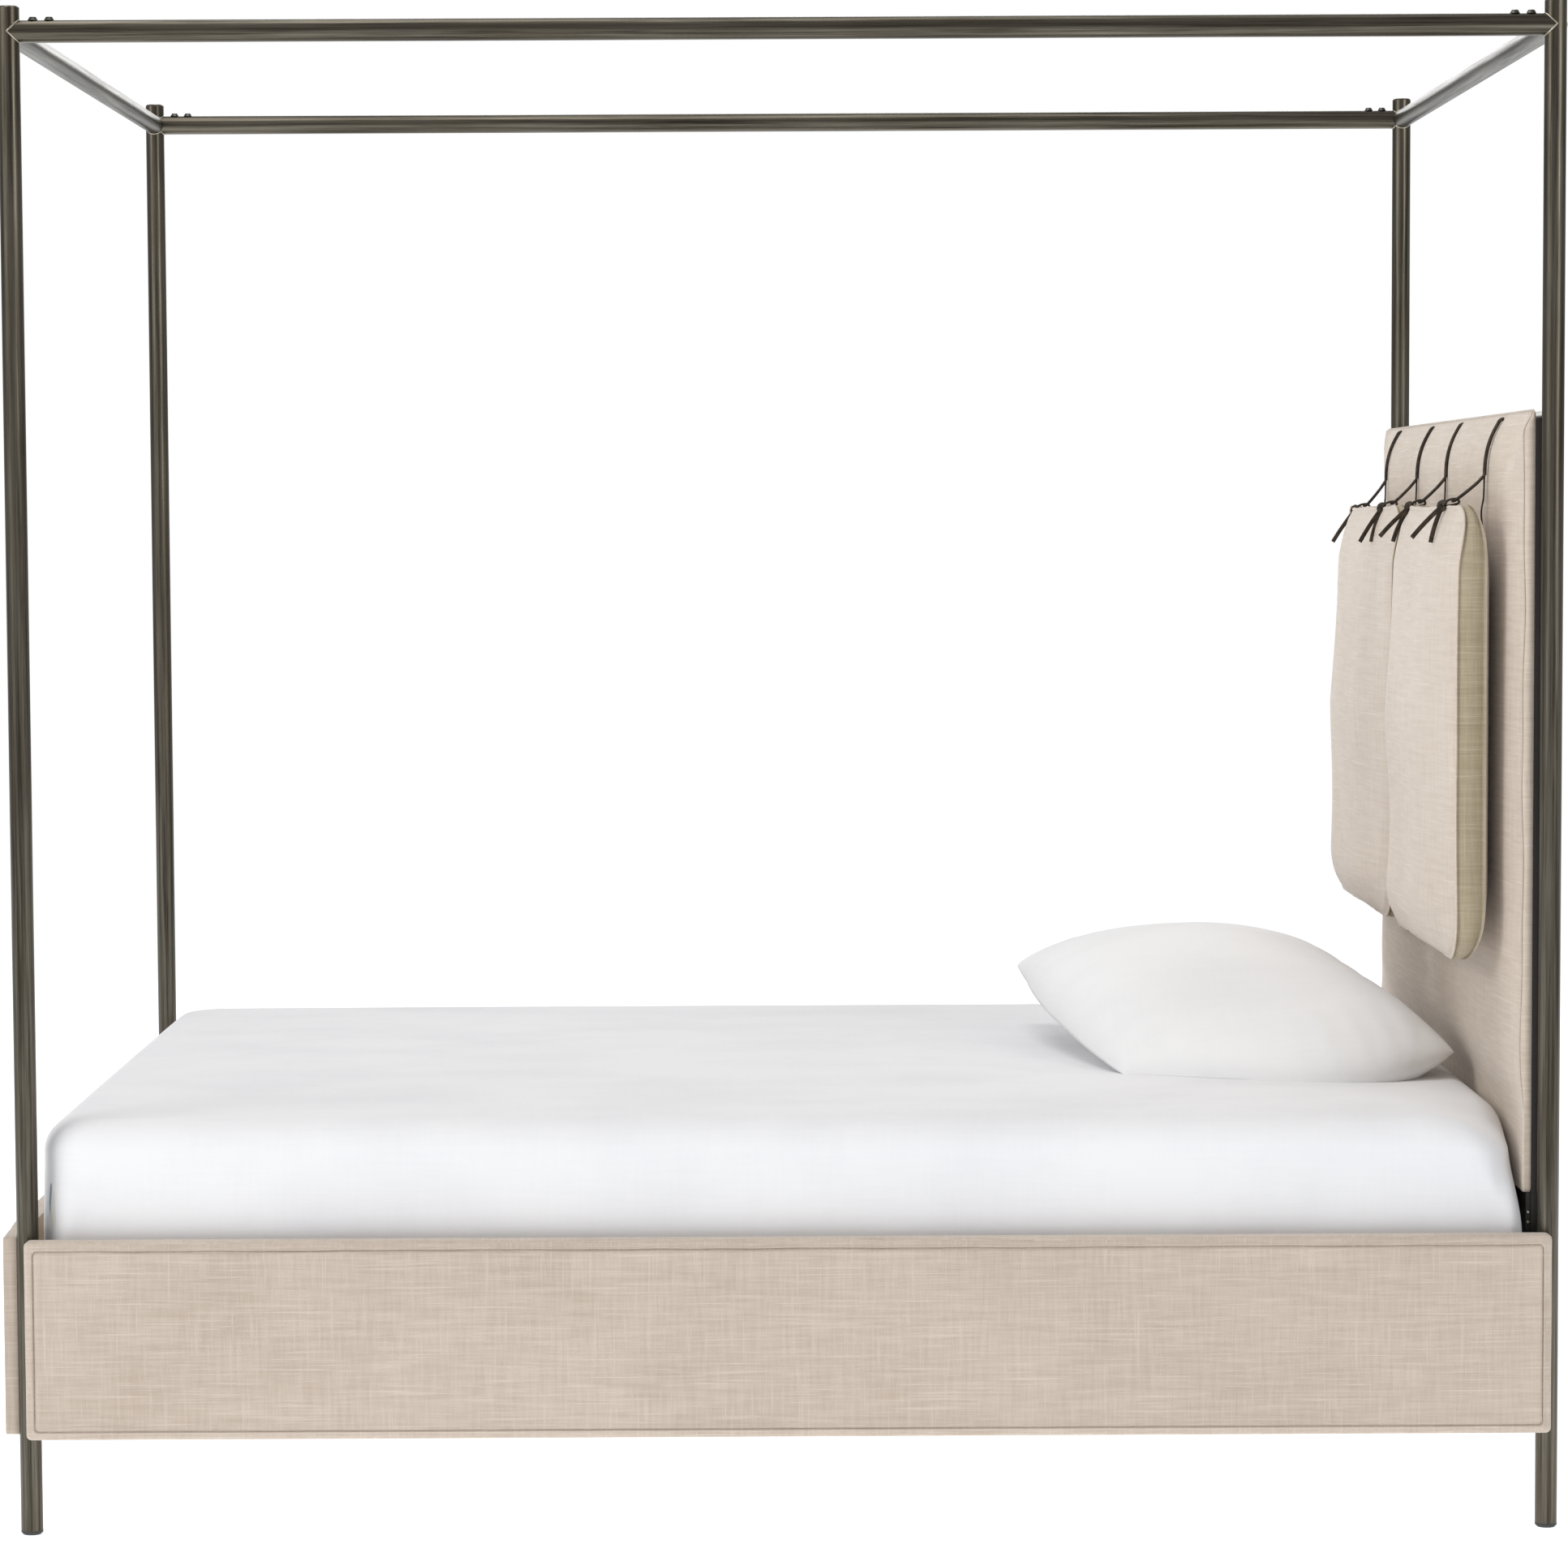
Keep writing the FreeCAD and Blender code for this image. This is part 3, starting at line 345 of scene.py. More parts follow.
finishes = {
    "bronzeX": bronzeMetal("bronzeAlongX", (3, 190, 190)),
    "bronzeY": bronzeMetal("bronzeAlongY", (190, 3, 190)),
    "bronzeZ": bronzeMetal("bronzeAlongZ", (190, 190, 3)),
    # weld finish: real beads, whose light tone is a painted highlight for the glint at the joints; the headboard edge
    # screws share it
    "weld": darkSteel("weldPaintedHighlight", (0.34, 0.31, 0.25), 0.3, 260),
    "screw": darkSteel("screwSteel", (0.075, 0.07, 0.062), 0.36, 300),
    "bracket": darkSteel("bracketSteel", (0.045, 0.045, 0.047), 0.5, 700, 0.0),
    "glide": darkSteel("glidePlastic", (0.03, 0.03, 0.028), 0.55, 900, 0.0),
    "slat": timber("slatBirch", (0.66, 0.5, 0.33), (0.5, 0.35, 0.2), 60, (0, 0, 1.5708)),
    "beam": timber("beamBirch", (0.62, 0.47, 0.31), (0.47, 0.33, 0.19), 60),
    "panel": timber("panelPlywood", (0.6, 0.46, 0.31), (0.48, 0.35, 0.22), 25),
    "frameLinen": linenCloth("frameLinen", (0.47, 0.39, 0.32), (0.565, 0.48, 0.405), (0.68, 0.6, 0.52), 0.5),
    "headLinen": linenCloth("headLinen", (0.53, 0.445, 0.365), (0.635, 0.545, 0.46), (0.74, 0.66, 0.57), 0.5),
    "cushionLinen": linenCloth("cushionLinen", (0.56, 0.475, 0.4), (0.65, 0.565, 0.485), (0.74, 0.66, 0.58), 0.45),
    "bandLinen": linenCloth("bandLinen", (0.34, 0.29, 0.195), (0.42, 0.36, 0.255), (0.56, 0.495, 0.375), 0.5),
    "sheet": cottonCloth("sheetCotton", (0.78, 0.78, 0.8), (0.83, 0.83, 0.845), 0.35),
    "pillow": cottonCloth("pillowCotton", (0.83, 0.83, 0.84), (0.88, 0.88, 0.885), 0.6),
    # near-black board and battens: painted shade for the dark gap between the headboard's edge and the post
    "gapShadeBlack": timber("panelPaintedShade", (0.022, 0.019, 0.017), (0.013, 0.011, 0.01), 25),
    "ticking": tickingCloth("mattressTicking"), "leather": leatherStrap("strapLeather"),
    "webbing": tapeCloth("slatWebbing"), "zip": darkSteel("zipMetal", (0.09, 0.085, 0.075), 0.35, 500),
}
print("materials made:", len(finishes))


# mesh helpers
def toObject(name, points, faces, finish, uvByFacing=True, second=None):
    # puts whole arrays of points and faces in a mesh, welds doubles and turns its faces outward
    mesh = bpy.data.meshes.new(name)
    mesh.from_pydata(points.tolist(), [], faces.tolist())
    if second is not None:      # these faces take the second finish
        mesh.polygons.foreach_set("material_index", second.astype(int))
    work = bmesh.new()
    work.from_mesh(mesh)
    bmesh.ops.remove_doubles(work, verts=work.verts, dist=2e-5)
    bmesh.ops.dissolve_degenerate(work, edges=work.edges, dist=1e-6)
    bmesh.ops.recalc_face_normals(work, faces=work.faces)
    work.to_mesh(mesh)
    work.free()
    mesh.polygons.foreach_set("use_smooth", np.ones(len(mesh.polygons), bool))
    item = bpy.data.objects.new(name, mesh)
    scene.collection.objects.link(item)
    mesh.materials.append(finishes[finish])
    if uvByFacing:
        clothUv(mesh)
    return item


def readOut(items, name, width, kind=float):
    values = np.zeros(len(items) * width, kind)
    items.foreach_get(name, values)
    return values


def clothUv(mesh):
    # each face takes the two axes that it faces least, in metres, so the yarns run level and upright
    normal = readOut(mesh.polygons, "normal", 3)
    total = readOut(mesh.polygons, "loop_total", 1, int)
    which = readOut(mesh.loops, "vertex_index", 1, int)
    spots = readOut(mesh.vertices, "co", 3).reshape(-1, 3)[which]
    facing = np.repeat(np.abs(normal.reshape(-1, 3)).argmax(1), total)
    u = np.where(facing == 0, spots[:, 1], spots[:, 0])
    v = np.where(facing == 2, spots[:, 1], spots[:, 2])
    layer = mesh.uv_layers.new(name="cloth")
    layer.data.foreach_set("uv", np.stack([u, v], 1).ravel())


def stations(alongA, alongB, alongCorner):
    # places round a rounded rectangle: the spot on its inner rectangle, then the way it faces
    parts = []
    for turn in range(4):
        count = alongB if turn % 2 == 0 else alongA
        side = np.stack([np.ones(count), np.linspace(-1, 1, count, endpoint=False), np.ones(count), np.zeros(count)])
        angle = np.linspace(0, np.pi / 2, alongCorner, endpoint=False)
        arc = np.stack([np.ones(alongCorner), np.ones(alongCorner), np.cos(angle), np.sin(angle)])
        quarter = np.concatenate([side, arc], 1)
        for _ in range(turn):
            quarter = np.stack([-quarter[1], quarter[0], -quarter[3], quarter[2]])
        parts.append(quarter)
    return np.concatenate(parts, 1)


def quads(rows, columns):
    # faces between neighbouring rings of a grid whose columns close on themselves
    k, j = np.meshgrid(np.arange(rows - 1), np.arange(columns), indexing="ij")
    following = (j + 1) % columns
    return np.stack([k * columns + j, k * columns + following, (k + 1) * columns + following,
        (k + 1) * columns + j], -1).reshape(-1, 4)


def ringShell(halfA, halfB, radius, inset, depth, step, alongCorner, footRadius=None):
    # rings that shrink inwards from a rounded rectangle: ring k is inset[k] inside the outline, at depth[k];
    # corners on the negative side may have their own radius
    inset, depth = np.asarray(inset, float)[:, None], np.asarray(depth, float)[:, None]
    sx, sy, cx, cy = stations(max(8, int(2 * halfA / step)), max(8, int(2 * halfB / step)), alongCorner)
    share = unit(1 - inset / min(halfA, halfB))
    footRadius = radius if footRadius is None else footRadius
    bend = np.where(sx > 0, np.reshape(radius, (-1, 1)), np.reshape(footRadius, (-1, 1))) * share
    a, b = np.maximum(halfA - inset, 0), np.maximum(halfB - inset, 0)
    plan = np.stack([sx * (a - bend) + cx * bend, sy * (b - bend) + cy * bend, depth + 0 * sx], -1)
    return plan.reshape(-1, 3), quads(*plan.shape[:2]), np.repeat(inset[:, 0], plan.shape[1])


def unit(value):
    return np.clip(value, 0, 1)


def ease(value, power):
    # quick from 0, then level at 1
    return 1 - (1 - unit(value)) ** power


def smooth(value, low, high):
    # a smooth step from 0 at low to 1 at high
    t = unit((value - low) / (high - low))
    return t * t * (3 - 2 * t)


def ripple(points, waves):
    # a sum of a few sine waves, each with its own pace along the axes, phase and size
    total = np.zeros(len(points))
    for pace, phase, size in waves:
        total += size * np.sin(points @ np.array(pace, float) + phase)
    return total


def carry(path, section, side=(0, 1, 0)):
    # carries a closed section along a path; side says which way the section's first axis points
    path = np.asarray(path, float)
    ahead = np.gradient(path, axis=0)
    ahead /= np.linalg.norm(ahead, axis=1)[:, None]
    side = np.broadcast_to(np.asarray(side, float), path.shape)
    side = side - (side * ahead).sum(1)[:, None] * ahead
    side /= np.linalg.norm(side, axis=1)[:, None]
    up = np.cross(ahead, side)
    section = np.asarray(section, float)
    rings = path[:, None] + section[None, :, 0, None] * side[:, None] + section[None, :, 1, None] * up[:, None]
    first, last = (np.repeat(end, len(section), 1) for end in (path[:1, None], path[-1:, None]))
    rings = np.concatenate([first, rings, last])
    return rings.reshape(-1, 3), quads(*rings.shape[:2])


def curveThrough(spots, count):
    # a smooth line through the spots: each stretch is a cubic whose slopes come from the neighbours
    spots = np.asarray(spots, float)
    padded = np.concatenate([2 * spots[:1] - spots[1:2], spots, 2 * spots[-1:] - spots[-2:-1]])
    t = np.linspace(0, len(spots) - 1 - 1e-9, count)
    k = t.astype(int)
    f = (t - k)[:, None]
    p0, p1, p2, p3 = padded[k], padded[k + 1], padded[k + 2], padded[k + 3]
    return 0.5 * (2 * p1 + (p2 - p0) * f + (2 * p0 - 5 * p1 + 4 * p2 - p3) * f ** 2
        + (3 * p1 - p0 - 3 * p2 + p3) * f ** 3)


def joined(parts):
    # several lots of points and faces as one
    points, faces, base = [], [], 0
    for p, f in parts:
        points.append(p)
        faces.append(f + base)
        base += len(p)
    return np.concatenate(points), np.concatenate(faces)


def flatSection(width, thick):
    # a strip with blunt corners, a little thicker along its middle
    w, t, c = width / 2, thick / 2, thick * 0.3
    upper = [(w, t - c), (w - c, t), (0, t * 1.1), (c - w, t), (-w, t - c)]
    lower = [(-w, c - t), (c - w, -t), (0, -t * 1.1), (w - c, -t)]
    return [(w, -t + c)] + upper + lower


def roundSection(radius, count):
    angle = np.arange(count) * 2 * np.pi / count
    return np.stack([radius * np.cos(angle), radius * np.sin(angle)], 1)


# upholstered rails
railSettings = {"corner": 0.007, "edgeRound": 0.009, "seamIn": 0.0125, "groove": 0.003, "lip": 0.0014,
    "crown": 0.003, "wrap": 0.003, "step": 0.009, "endReach": 0.16, "leastPadding": 0.0012}


def railProfile(settings, thick, boardThick, halfB):
    # back lip, side, rounded edge, sewn seam, then the crowned front to the middle
    r, seam = settings["edgeRound"], settings["seamIn"]
    angle = np.linspace(0, np.pi / 2, 6)
    inset = [halfB, settings["wrap"] + 0.0012, settings["wrap"], settings["wrap"] - 0.0003, 0.0012, 0.0, 0.0, 0.0]
    depth = [boardThick, boardThick, boardThick - 0.001, 0.0, 0.0, 0.0012, boardThick * 0.5, thick - r - 0.002]
    inset += list(r * (1 - np.cos(angle)))
    depth += list(thick - r + r * np.sin(angle))
    inset += [seam - 0.0022, seam - 0.001, seam, seam + 0.001, seam + 0.0026, seam + 0.006]
    depth += [thick + settings["lip"], thick + settings["lip"] * 0.5, thick - settings["groove"],
        thick - settings["groove"] * 0.5, thick + settings["lip"] * 0.6, thick + settings["lip"] * 0.7]
    rest = np.arange(seam + 0.014, halfB - 0.004, 0.011)
    inset += list(rest) + [halfB]
    depth += list(thick + settings["crown"] * smooth(rest, seam, 0.08)) + [thick + settings["crown"]]
    return inset, depth


def makeRail(name, node, boardNode, axis, sign, settings):
    # axis is the way the rail faces: 1 for the long rails, 0 for the foot rail
    low, high = corners(node)
    boardLow, boardHigh = corners(boardNode)
    other = 1 - axis
    thick = high[axis] - low[axis]
    boardThick = boardHigh[axis] - boardLow[axis]
    halfA, halfB = (high[other] - low[other]) / 2, (high[2] - low[2]) / 2
    inset, depth = railProfile(settings, thick, boardThick, halfB)
    local, faces, ring = ringShell(halfA, halfB, settings["corner"], inset, depth, settings["step"], 5)
    along, up, out = local.T
    front = smooth(out, thick * 0.55, thick)
    seamLine = np.exp(-((ring - settings["seamIn"]) / 0.0024) ** 2) * front
    edge = np.exp(-np.maximum(np.minimum(halfB - np.abs(up), halfA - np.abs(along)), 0) / 0.03) * front
    lower = smooth(-up, halfB - 0.035, halfB - 0.012)
    flat = np.stack([along, up], 1)
    out = out + seamLine * lower * settings["groove"] * 0.9
    pucker = ripple(flat, [((350, 40), 0.4, 0.00035), ((520, -60), 1.9, 0.00025), ((60, 420), 0.7, 0.0003)])
    swell = ripple(flat, [((9, 3), 0.3, 0.0005), ((23, 9), 1.1, 0.0004), ((4.1, -12), 2.2, 0.0006)])
    out = out + edge * pucker + front * swell * smooth(ring, 0.0, 0.03)
    if axis == 0:       # the foot rail thins towards its ends
        least = boardThick + settings["leastPadding"]
        fullness = ease((halfA - np.abs(along)) / settings["endReach"], 2)
        out = np.where(out > least, least + (out - least) * fullness, out)
    topEdge = smooth(up, halfB - 0.02, halfB)
    waves = [((31, 0), 0.5, 0.0009), ((73, 0), 1.7, 0.0006), ((12, 0), 0.9, 0.0008)]
    up = up + topEdge * front * ripple(flat, waves)
    middle = (low + high) / 2
    points = np.zeros((len(local), 3))
    points[:, other] = middle[other] + along
    points[:, 2] = middle[2] + up
    points[:, axis] = (low[axis] if sign > 0 else high[axis]) + sign * out
    item = toObject(name, points, faces, "frameLinen")
    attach(item, "root")
    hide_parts(node)


# headboard
headboardSettings = {"corner": 0.008, "nearBand": 0.016, "farBand": 0.0068, "topBand": 0.0045, "sideReach": 0.245,
    "topReach": 0.087, "lowTaper": 0.07, "lapHeight": 0.1, "lapThick": 0.0055, "wrap": 0.008,
    "groove": 0.0034, "lip": 0.0018, "step": 0.009}


def padFace(along, height, settings):
    # thickness at the sewn edge, thickness on the face, and 0 to 1 where the padding starts above the lap;
    # the face climbs slowly from the sides and faster from the top
    low, high = corners("headboard_pad")
    boardLow, boardHigh = corners("headboard_board")
    full, least = high[0] - low[0], boardHigh[0] - boardLow[0] + settings["lapThick"]
    toSide, toTop = (high[1] - low[1]) / 2 - np.abs(along), high[2] - height
    padLow = low[2] + settings["lapHeight"]
    raised = smooth(height, padLow - 0.01, padLow + settings["lowTaper"])
    sideBand = np.where(along < 0, settings["nearBand"], settings["farBand"])
    band = sideBand + (settings["topBand"] - sideBand) * smooth(toTop - toSide * 0.6, 0.03, -0.002)
    band = least + (band - least) * raised
    climb = ease(toSide / settings["sideReach"], 1.4) * ease(toTop / settings["topReach"], 2.4)
    face = band + (full - band) * climb * smooth(height, padLow + 0.01, padLow + settings["lowTaper"] + 0.03)
    return band, face, raised


def makeHeadboard(settings):
    low, high = corners("headboard_pad")
    boardLow, boardHigh = corners("headboard_board")
    boardThick = boardHigh[0] - boardLow[0]
    bottom, top = low[2], high[2]
    halfA, halfB = (high[1] - low[1]) / 2, (top - bottom) / 2
    wrap = settings["wrap"]
    # layers: 0 on the board, 1 its back edge, 2 to 4 the side, 5 to 8 the sewn edge, 9 the face
    inset = [halfA, wrap + 0.001, wrap, wrap - 0.0004, 0.002, 0.0, 0.0, 0.0, 0.0, 0.0006, 0.0016, 0.003, 0.0048,
        0.007, 0.0095, 0.0125, 0.016, 0.02, 0.025, 0.031, 0.038, 0.047]
    layer = [0, 0, 0, 1, 1, 2, 3, 4, 5, 6, 7, 8] + [9] * 10
    rest = np.arange(0.058, halfA - 0.006, 0.0125)
    inset += list(rest) + [halfA]
    layer += [9] * (len(rest) + 1)
    local, faces = ringShell(halfA, halfB, settings["corner"], inset, layer, settings["step"], 5)[:2]
    along, up, level = local.T
    height = (top + bottom) / 2 + up
    toSide, toTop = halfA - np.abs(along), top - height
    band, face, raised = padFace(along, height, settings)
    steps = {0: boardThick, 1: 0, 2: 0.0012, 3: band * 0.45, 4: band - 0.0022, 5: band - 0.0009,
        6: band - 0.0012, 7: band - 0.0004, 8: band + 0.0008, 9: face}
    out = np.zeros(len(along))
    for key, value in steps.items():
        out = np.where(np.abs(level - key) < 0.25, value, out)
    overBoard = (level == 9) & (toSide > wrap - 0.0012) & (toTop > wrap - 0.0012)
    out = np.where(overBoard, np.maximum(out, boardThick + 0.0008), out)
    out = np.where((height - bottom < wrap * 1.5) & (toSide > wrap * 1.5), np.maximum(out, boardThick * 0.9), out)
    flat = np.stack([along, up], 1)
    seam = (np.abs(level - 5) < 0.2) * raised
    sideMost = toSide < toTop
    puffed = ((level == 3) | (level == 8)) * raised * settings["lip"]
    along = along + np.sign(along) * sideMost * (puffed - settings["groove"] * seam)
    upShift = (~sideMost) * (toTop < 0.2) * (puffed - settings["groove"] * seam)
    front = (level == 9) * raised
    swell = ripple(flat, [((5, 3), 0.3, 0.0007), ((11, -7), 1.1, 0.0005), ((2.1, 9), 2.2, 0.0006)])
    pucker = ripple(flat, [((60, 420), 0.4, 0.0003), ((90, 300), 1.9, 0.0003)]) * np.exp(-toSide / 0.025)
    wave = ripple(flat, [((0, 16), 0.4, 0.0012), ((0, 37), 1.3, 0.0007)]) * np.exp(-toSide / 0.02) * raised
    out = out + front * (swell * smooth(toSide, 0, 0.05) + pucker * 0.8) + wave * (level > 3)
    points = np.stack([high[0] - out, (low[1] + high[1]) / 2 + along, height + upShift], 1)
    item = toObject("headboardCover", points, faces, "headLinen")
    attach(item, "root")
    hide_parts("headboard_pad")


# hanging cushions
# frontSeam and rearSeam are shares of the thickness, counted from the front
cushionSettings = {"corner": 0.07, "frontSeam": 0.041 / 0.0976, "rearSeam": 0.079 / 0.0976, "drawIn": 0.08,
    "fallBack": 0.012, "lowReach": 0.09, "rearReach": 0.12, "quick": 0.03, "slow": 0.38,
    "share": 0.52, "pipe": 0.0024, "groove": 0.0016, "pullSide": 0.007, "bow": 0.004, "step": 0.009}


def cushionCrown(inset, settings):
    # share of the full crown at a distance from the front seam: a quick rise, then a long slow one
    share = settings["share"]
    return share * (1 - np.exp(-inset / settings["quick"])) + (1 - share) * smooth(inset, 0, settings["slow"])


def cushionShell(low, high, frontSeam, rearSeam, settings):
    # rear crown, rear seam, boxing band, front seam, front crown, all on rings round the same outline
    halfA, halfB = (high[1] - low[1]) / 2, (high[2] - low[2]) / 2
    front, rear = frontSeam, rearSeam
    pipe, groove = settings["pipe"], settings["groove"]
    half = min(halfA, halfB)
    rearInset = half - (half - 0.005) * np.linspace(0, 1, 26)
    rearDepth = (high[0] - rear) * ease(rearInset / settings["rearReach"], 2)
    frontInset = 0.005 + (half - 0.005) * np.linspace(0, 1, 40) ** 1.35
    frontDepth = (front - low[0]) * cushionCrown(frontInset, settings)
    seam = [0.0028, 0.0012, -pipe * 0.6, -pipe, -pipe * 0.5, groove, 0.0004, -0.0014, -0.0021]
    inset = list(rearInset) + seam + [-0.0024] + seam[::-1] + list(frontInset)
    band = front - rear
    depth = list(rear + rearDepth)
    roundPipe = np.array([0.0018, 0.0024, 0.0018, 0, -0.0018, -0.0024])
    depth += list(rear + roundPipe)
    depth += [rear + band * share for share in (0.12, 0.26, 0.38, 0.5, 0.62, 0.74, 0.88)]
    depth += list(front - roundPipe[::-1]) + list(front - frontDepth)
    plan, faces, ring = ringShell(halfA, halfB, settings["corner"], inset, depth, settings["step"], 12)
    ringOf = np.arange(len(faces)) // (len(plan) // len(inset))     # band faces lie between the two seams
    first = len(rearInset) + 3
    banded = (ringOf >= first) & (ringOf < first + 12)
    return plan, faces, ring, halfA, halfB, banded


def makeCushion(side, settings):
    node = f"hanging_cushion_{side}"
    low, high = corners(node)
    thick = high[0] - low[0]
    frontSeam, rearSeam = (low[0] + settings[key] * thick for key in ("frontSeam", "rearSeam"))
    local, faces, ring, halfA, halfB, banded = cushionShell(low, high, frontSeam, rearSeam, settings)
    along, up, out = local.T
    s, t = along / halfA, up / halfB
    phase = 0.0 if side == "left" else 2.1
    pull = settings["pullSide"]
    rim = np.exp(-np.maximum(ring, 0) / 0.12)
    fromEdge, fromSide = halfB - np.abs(up), halfA - np.abs(along)
    tall = cushionCrown(np.maximum(fromEdge, 0), settings)
    plump = ease(fromEdge / settings["lowReach"], 2.2) ** 0.7
    tall = tall + np.maximum(plump * 0.97 - tall, 0) * smooth(-t, 0.2, 0.95)
    wide = 0.3 * (1 - np.exp(-np.maximum(fromSide, 0) / 0.014)) + 0.7 * smooth(fromSide, 0, 0.2)
    crowned = frontSeam - (frontSeam - low[0]) * tall * wide
    out = np.where((out < frontSeam - 0.0001) & (ring > 0.004), crowned, out)
    drawn = 0.3 + 0.7 * np.sqrt(ease((fromEdge + 0.004) / settings["drawIn"], 2))
    out = np.where(out > frontSeam + 0.003, frontSeam + (out - frontSeam) * drawn, out)
    upperCorner = smooth(np.abs(s), 0.35, 1.0) * smooth(t, 0.7, 1.0)
    out = out + settings["fallBack"] * upperCorner * smooth(out, rearSeam, frontSeam)
    along2 = along - np.sign(along) * pull * rim * (1 - t ** 4) * smooth(np.abs(s), 0.6, 1.0) * 0.4
    up2 = up - np.sign(up) * pull * 0.8 * rim * (1 - s ** 4) * smooth(np.abs(t), 0.7, 1.0) * np.where(up < 0, 0.3, 1.0)
    bowing = settings["bow"] * (1 - t ** 2) * (1 - 0.35 * s ** 2)
    level = (out - low[0]) / thick
    out2 = out - bowing * smooth(level, 0.75, 0.35) * rim
    flat = np.stack([along, up], 1)
    tight = ripple(flat, [((14, 7), 0.3 + phase, 0.0011), ((23, -13), 1.1 + phase, 0.0008),
        ((6, 17), 2.2 - phase, 0.0012)])
    gather = ripple(flat, [((240, 30), 0.4 + phase, 0.00045), ((40, 270), 1.9, 0.00045),
        ((150, 160), 2.6, 0.0003)])
    frontFace = smooth(level, 0.41, 0.37)
    out2 = out2 - frontFace * (tight * smooth(ring, 0.01, 0.08) + gather * np.exp(-np.maximum(ring, 0) / 0.02))
    bandPart = smooth(level, 0.38, 0.45) * smooth(level, 0.85, 0.78)
    swell = bandPart * (ripple(flat, [((21, 25), 0.3 + phase, 0.0012), ((90, 97), 1.1, 0.0004)]) + 0.0012)
    along2 = along2 + np.sign(along) * swell * smooth(np.abs(s), 0.9, 1.0)
    up2 = up2 + np.sign(up) * swell * smooth(np.abs(t), 0.9, 1.0)
    out2 = np.minimum(out2, high[0])
    middle = (low + high) / 2
    points = np.stack([out2, middle[1] + along2, middle[2] + up2], 1)
    item = toObject(f"hangingCushion_{side}", points, faces, "cushionLinen", second=banded)
    item.data.materials.append(finishes["bandLinen"])
    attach(item, f"cushion_{side}")
    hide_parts(node)


# straps
# ends: for each strap, in x and z, its knot's shift and where its lying and its free tail end
strapSettings = {
    "width": 0.007, "hung": 0.0048, "branch": 0.0043, "tail": 0.0066, "thin": 0.0023, "clear": 0.0032,
    "seamIn": 0.009, "endGap": 0.001, "edgeIn": 0.0035, "knotBehind": 0.041, "loopThick": 0.0032,
    "ends": {"right": [((-0.004, -0.004), (-0.017, -0.052), (-0.044, -0.045)),
    ((0.0005, -0.005), (-0.025, -0.052), (-0.045, -0.044))],
    "left": [((0.0, -0.006), (-0.017, -0.053), (-0.035, -0.053)),
    ((0.005, -0.009), (-0.018, -0.052), (-0.037, -0.052))]},
}


def makeStraps(side, settings):
    low, high = corners(f"headboard_straps_{side}")
    cushionLow, cushionHigh = corners(f"hanging_cushion_{side}")
    padHigh = corners("headboard_pad")[1]
    bendZ, topZ = low[2], padHigh[2]
    hung, tied = [], []
    for k, y in enumerate((low[1] + settings["edgeIn"], high[1] - settings["edgeIn"])):
        # down the face of the headboard, a little in front of the cloth
        heights = np.linspace(topZ - settings["seamIn"], bendZ + settings["endGap"], 14)
        face = padHigh[0] - padFace(np.full(14, y), heights, headboardSettings)[1] - settings["clear"]
        lean = 0.004 * np.linspace(1, 0, 14) ** 1.5 * (1 if k else -0.5)
        spots = [(face[0] + 0.005, y + lean[0], heights[0] + 0.002)]
        spots += [(x, y + d, z) for x, d, z in zip(face, lean, heights)]
        hung.append(carry(curveThrough(spots, 50), flatSection(settings["width"], settings["hung"])))
        bend = np.array([face[-1], y, bendZ])
        shift, lying, free = settings["ends"][side][k]
        knot = np.array([cushionLow[0] + settings["knotBehind"] + shift[0], y, cushionHigh[2] + shift[1] + 0.003])
        # from the bend forward to the knot
        end = knot + (0.0195, 0.0004, 0.0085)
        front = curveThrough([bend + (-0.0002, 0, 0.001), bend * 0.62 + end * 0.38 + (0, 0, -0.0012), end,
            end + (-0.007, 0, -0.002)], 26)
        tied.append(carry(front, flatSection(settings["width"], settings["branch"])))
        loop = curveThrough(knot + np.array([
            (0.0, 0.001, 0.003), (0.01, 0.0005, 0.0082), (0.02, 0.0, 0.0088), (0.0225, -0.0005, 0.0035),
            (0.012, 0.0, 0.0002), (0.001, 0, -0.0008)]), 34)
        tied.append(carry(loop, flatSection(settings["width"] * 0.8, settings["loopThick"])))
        lump = curveThrough(knot + np.array([
            (0.0035, -0.0045, 0.002), (0.0, -0.0015, 0.0048), (-0.0045, 0.0025, 0.0018),
            (-0.004, 0.0035, -0.004), (0.0005, -0.001, -0.0052), (0.0032, -0.0045, -0.001)]), 30)
        tied.append(carry(lump, flatSection(0.0068, 0.005), (0.3, 0.2, 1)))
        for (dx, dz), depart, bow in ((lying, 0.0, 0.22), (free, -0.004, 0.08)):
            way = [knot + (dx * (f + bow * f * (1 - f) * 2), depart * f - 0.0015, dz * f)
                for f in np.linspace(0, 1, 5)]
            tied.append(carry(curveThrough(way, 26), flatSection(settings["tail"], 0.0022), (1, 0.25, 0)))
        # from the bend down behind the cushion
        backX, backZ = cushionHigh[0], cushionHigh[2]
        backLine = curveThrough([bend + (-0.0004, 0, -0.001), bend + (-0.0012, 0.0008, -0.03),
            (backX - 0.004, y + 0.001, backZ - 0.012), (backX - 0.001, y, backZ - 0.05),
            (backX - 0.0002, y, backZ - 0.068)], 24)
        tied.append(carry(backLine, flatSection(0.0034, settings["thin"])))
    strap = toObject(f"strapSet_{side}", *joined(hung), "leather", False)
    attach(strap, "root")
    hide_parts(f"headboard_straps_{side}")
    tie = toObject(f"tieSet_{side}", *joined(tied), "leather", False)
    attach(tie, f"cushion_{side}")
    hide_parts(f"cushion_ties_{side}")


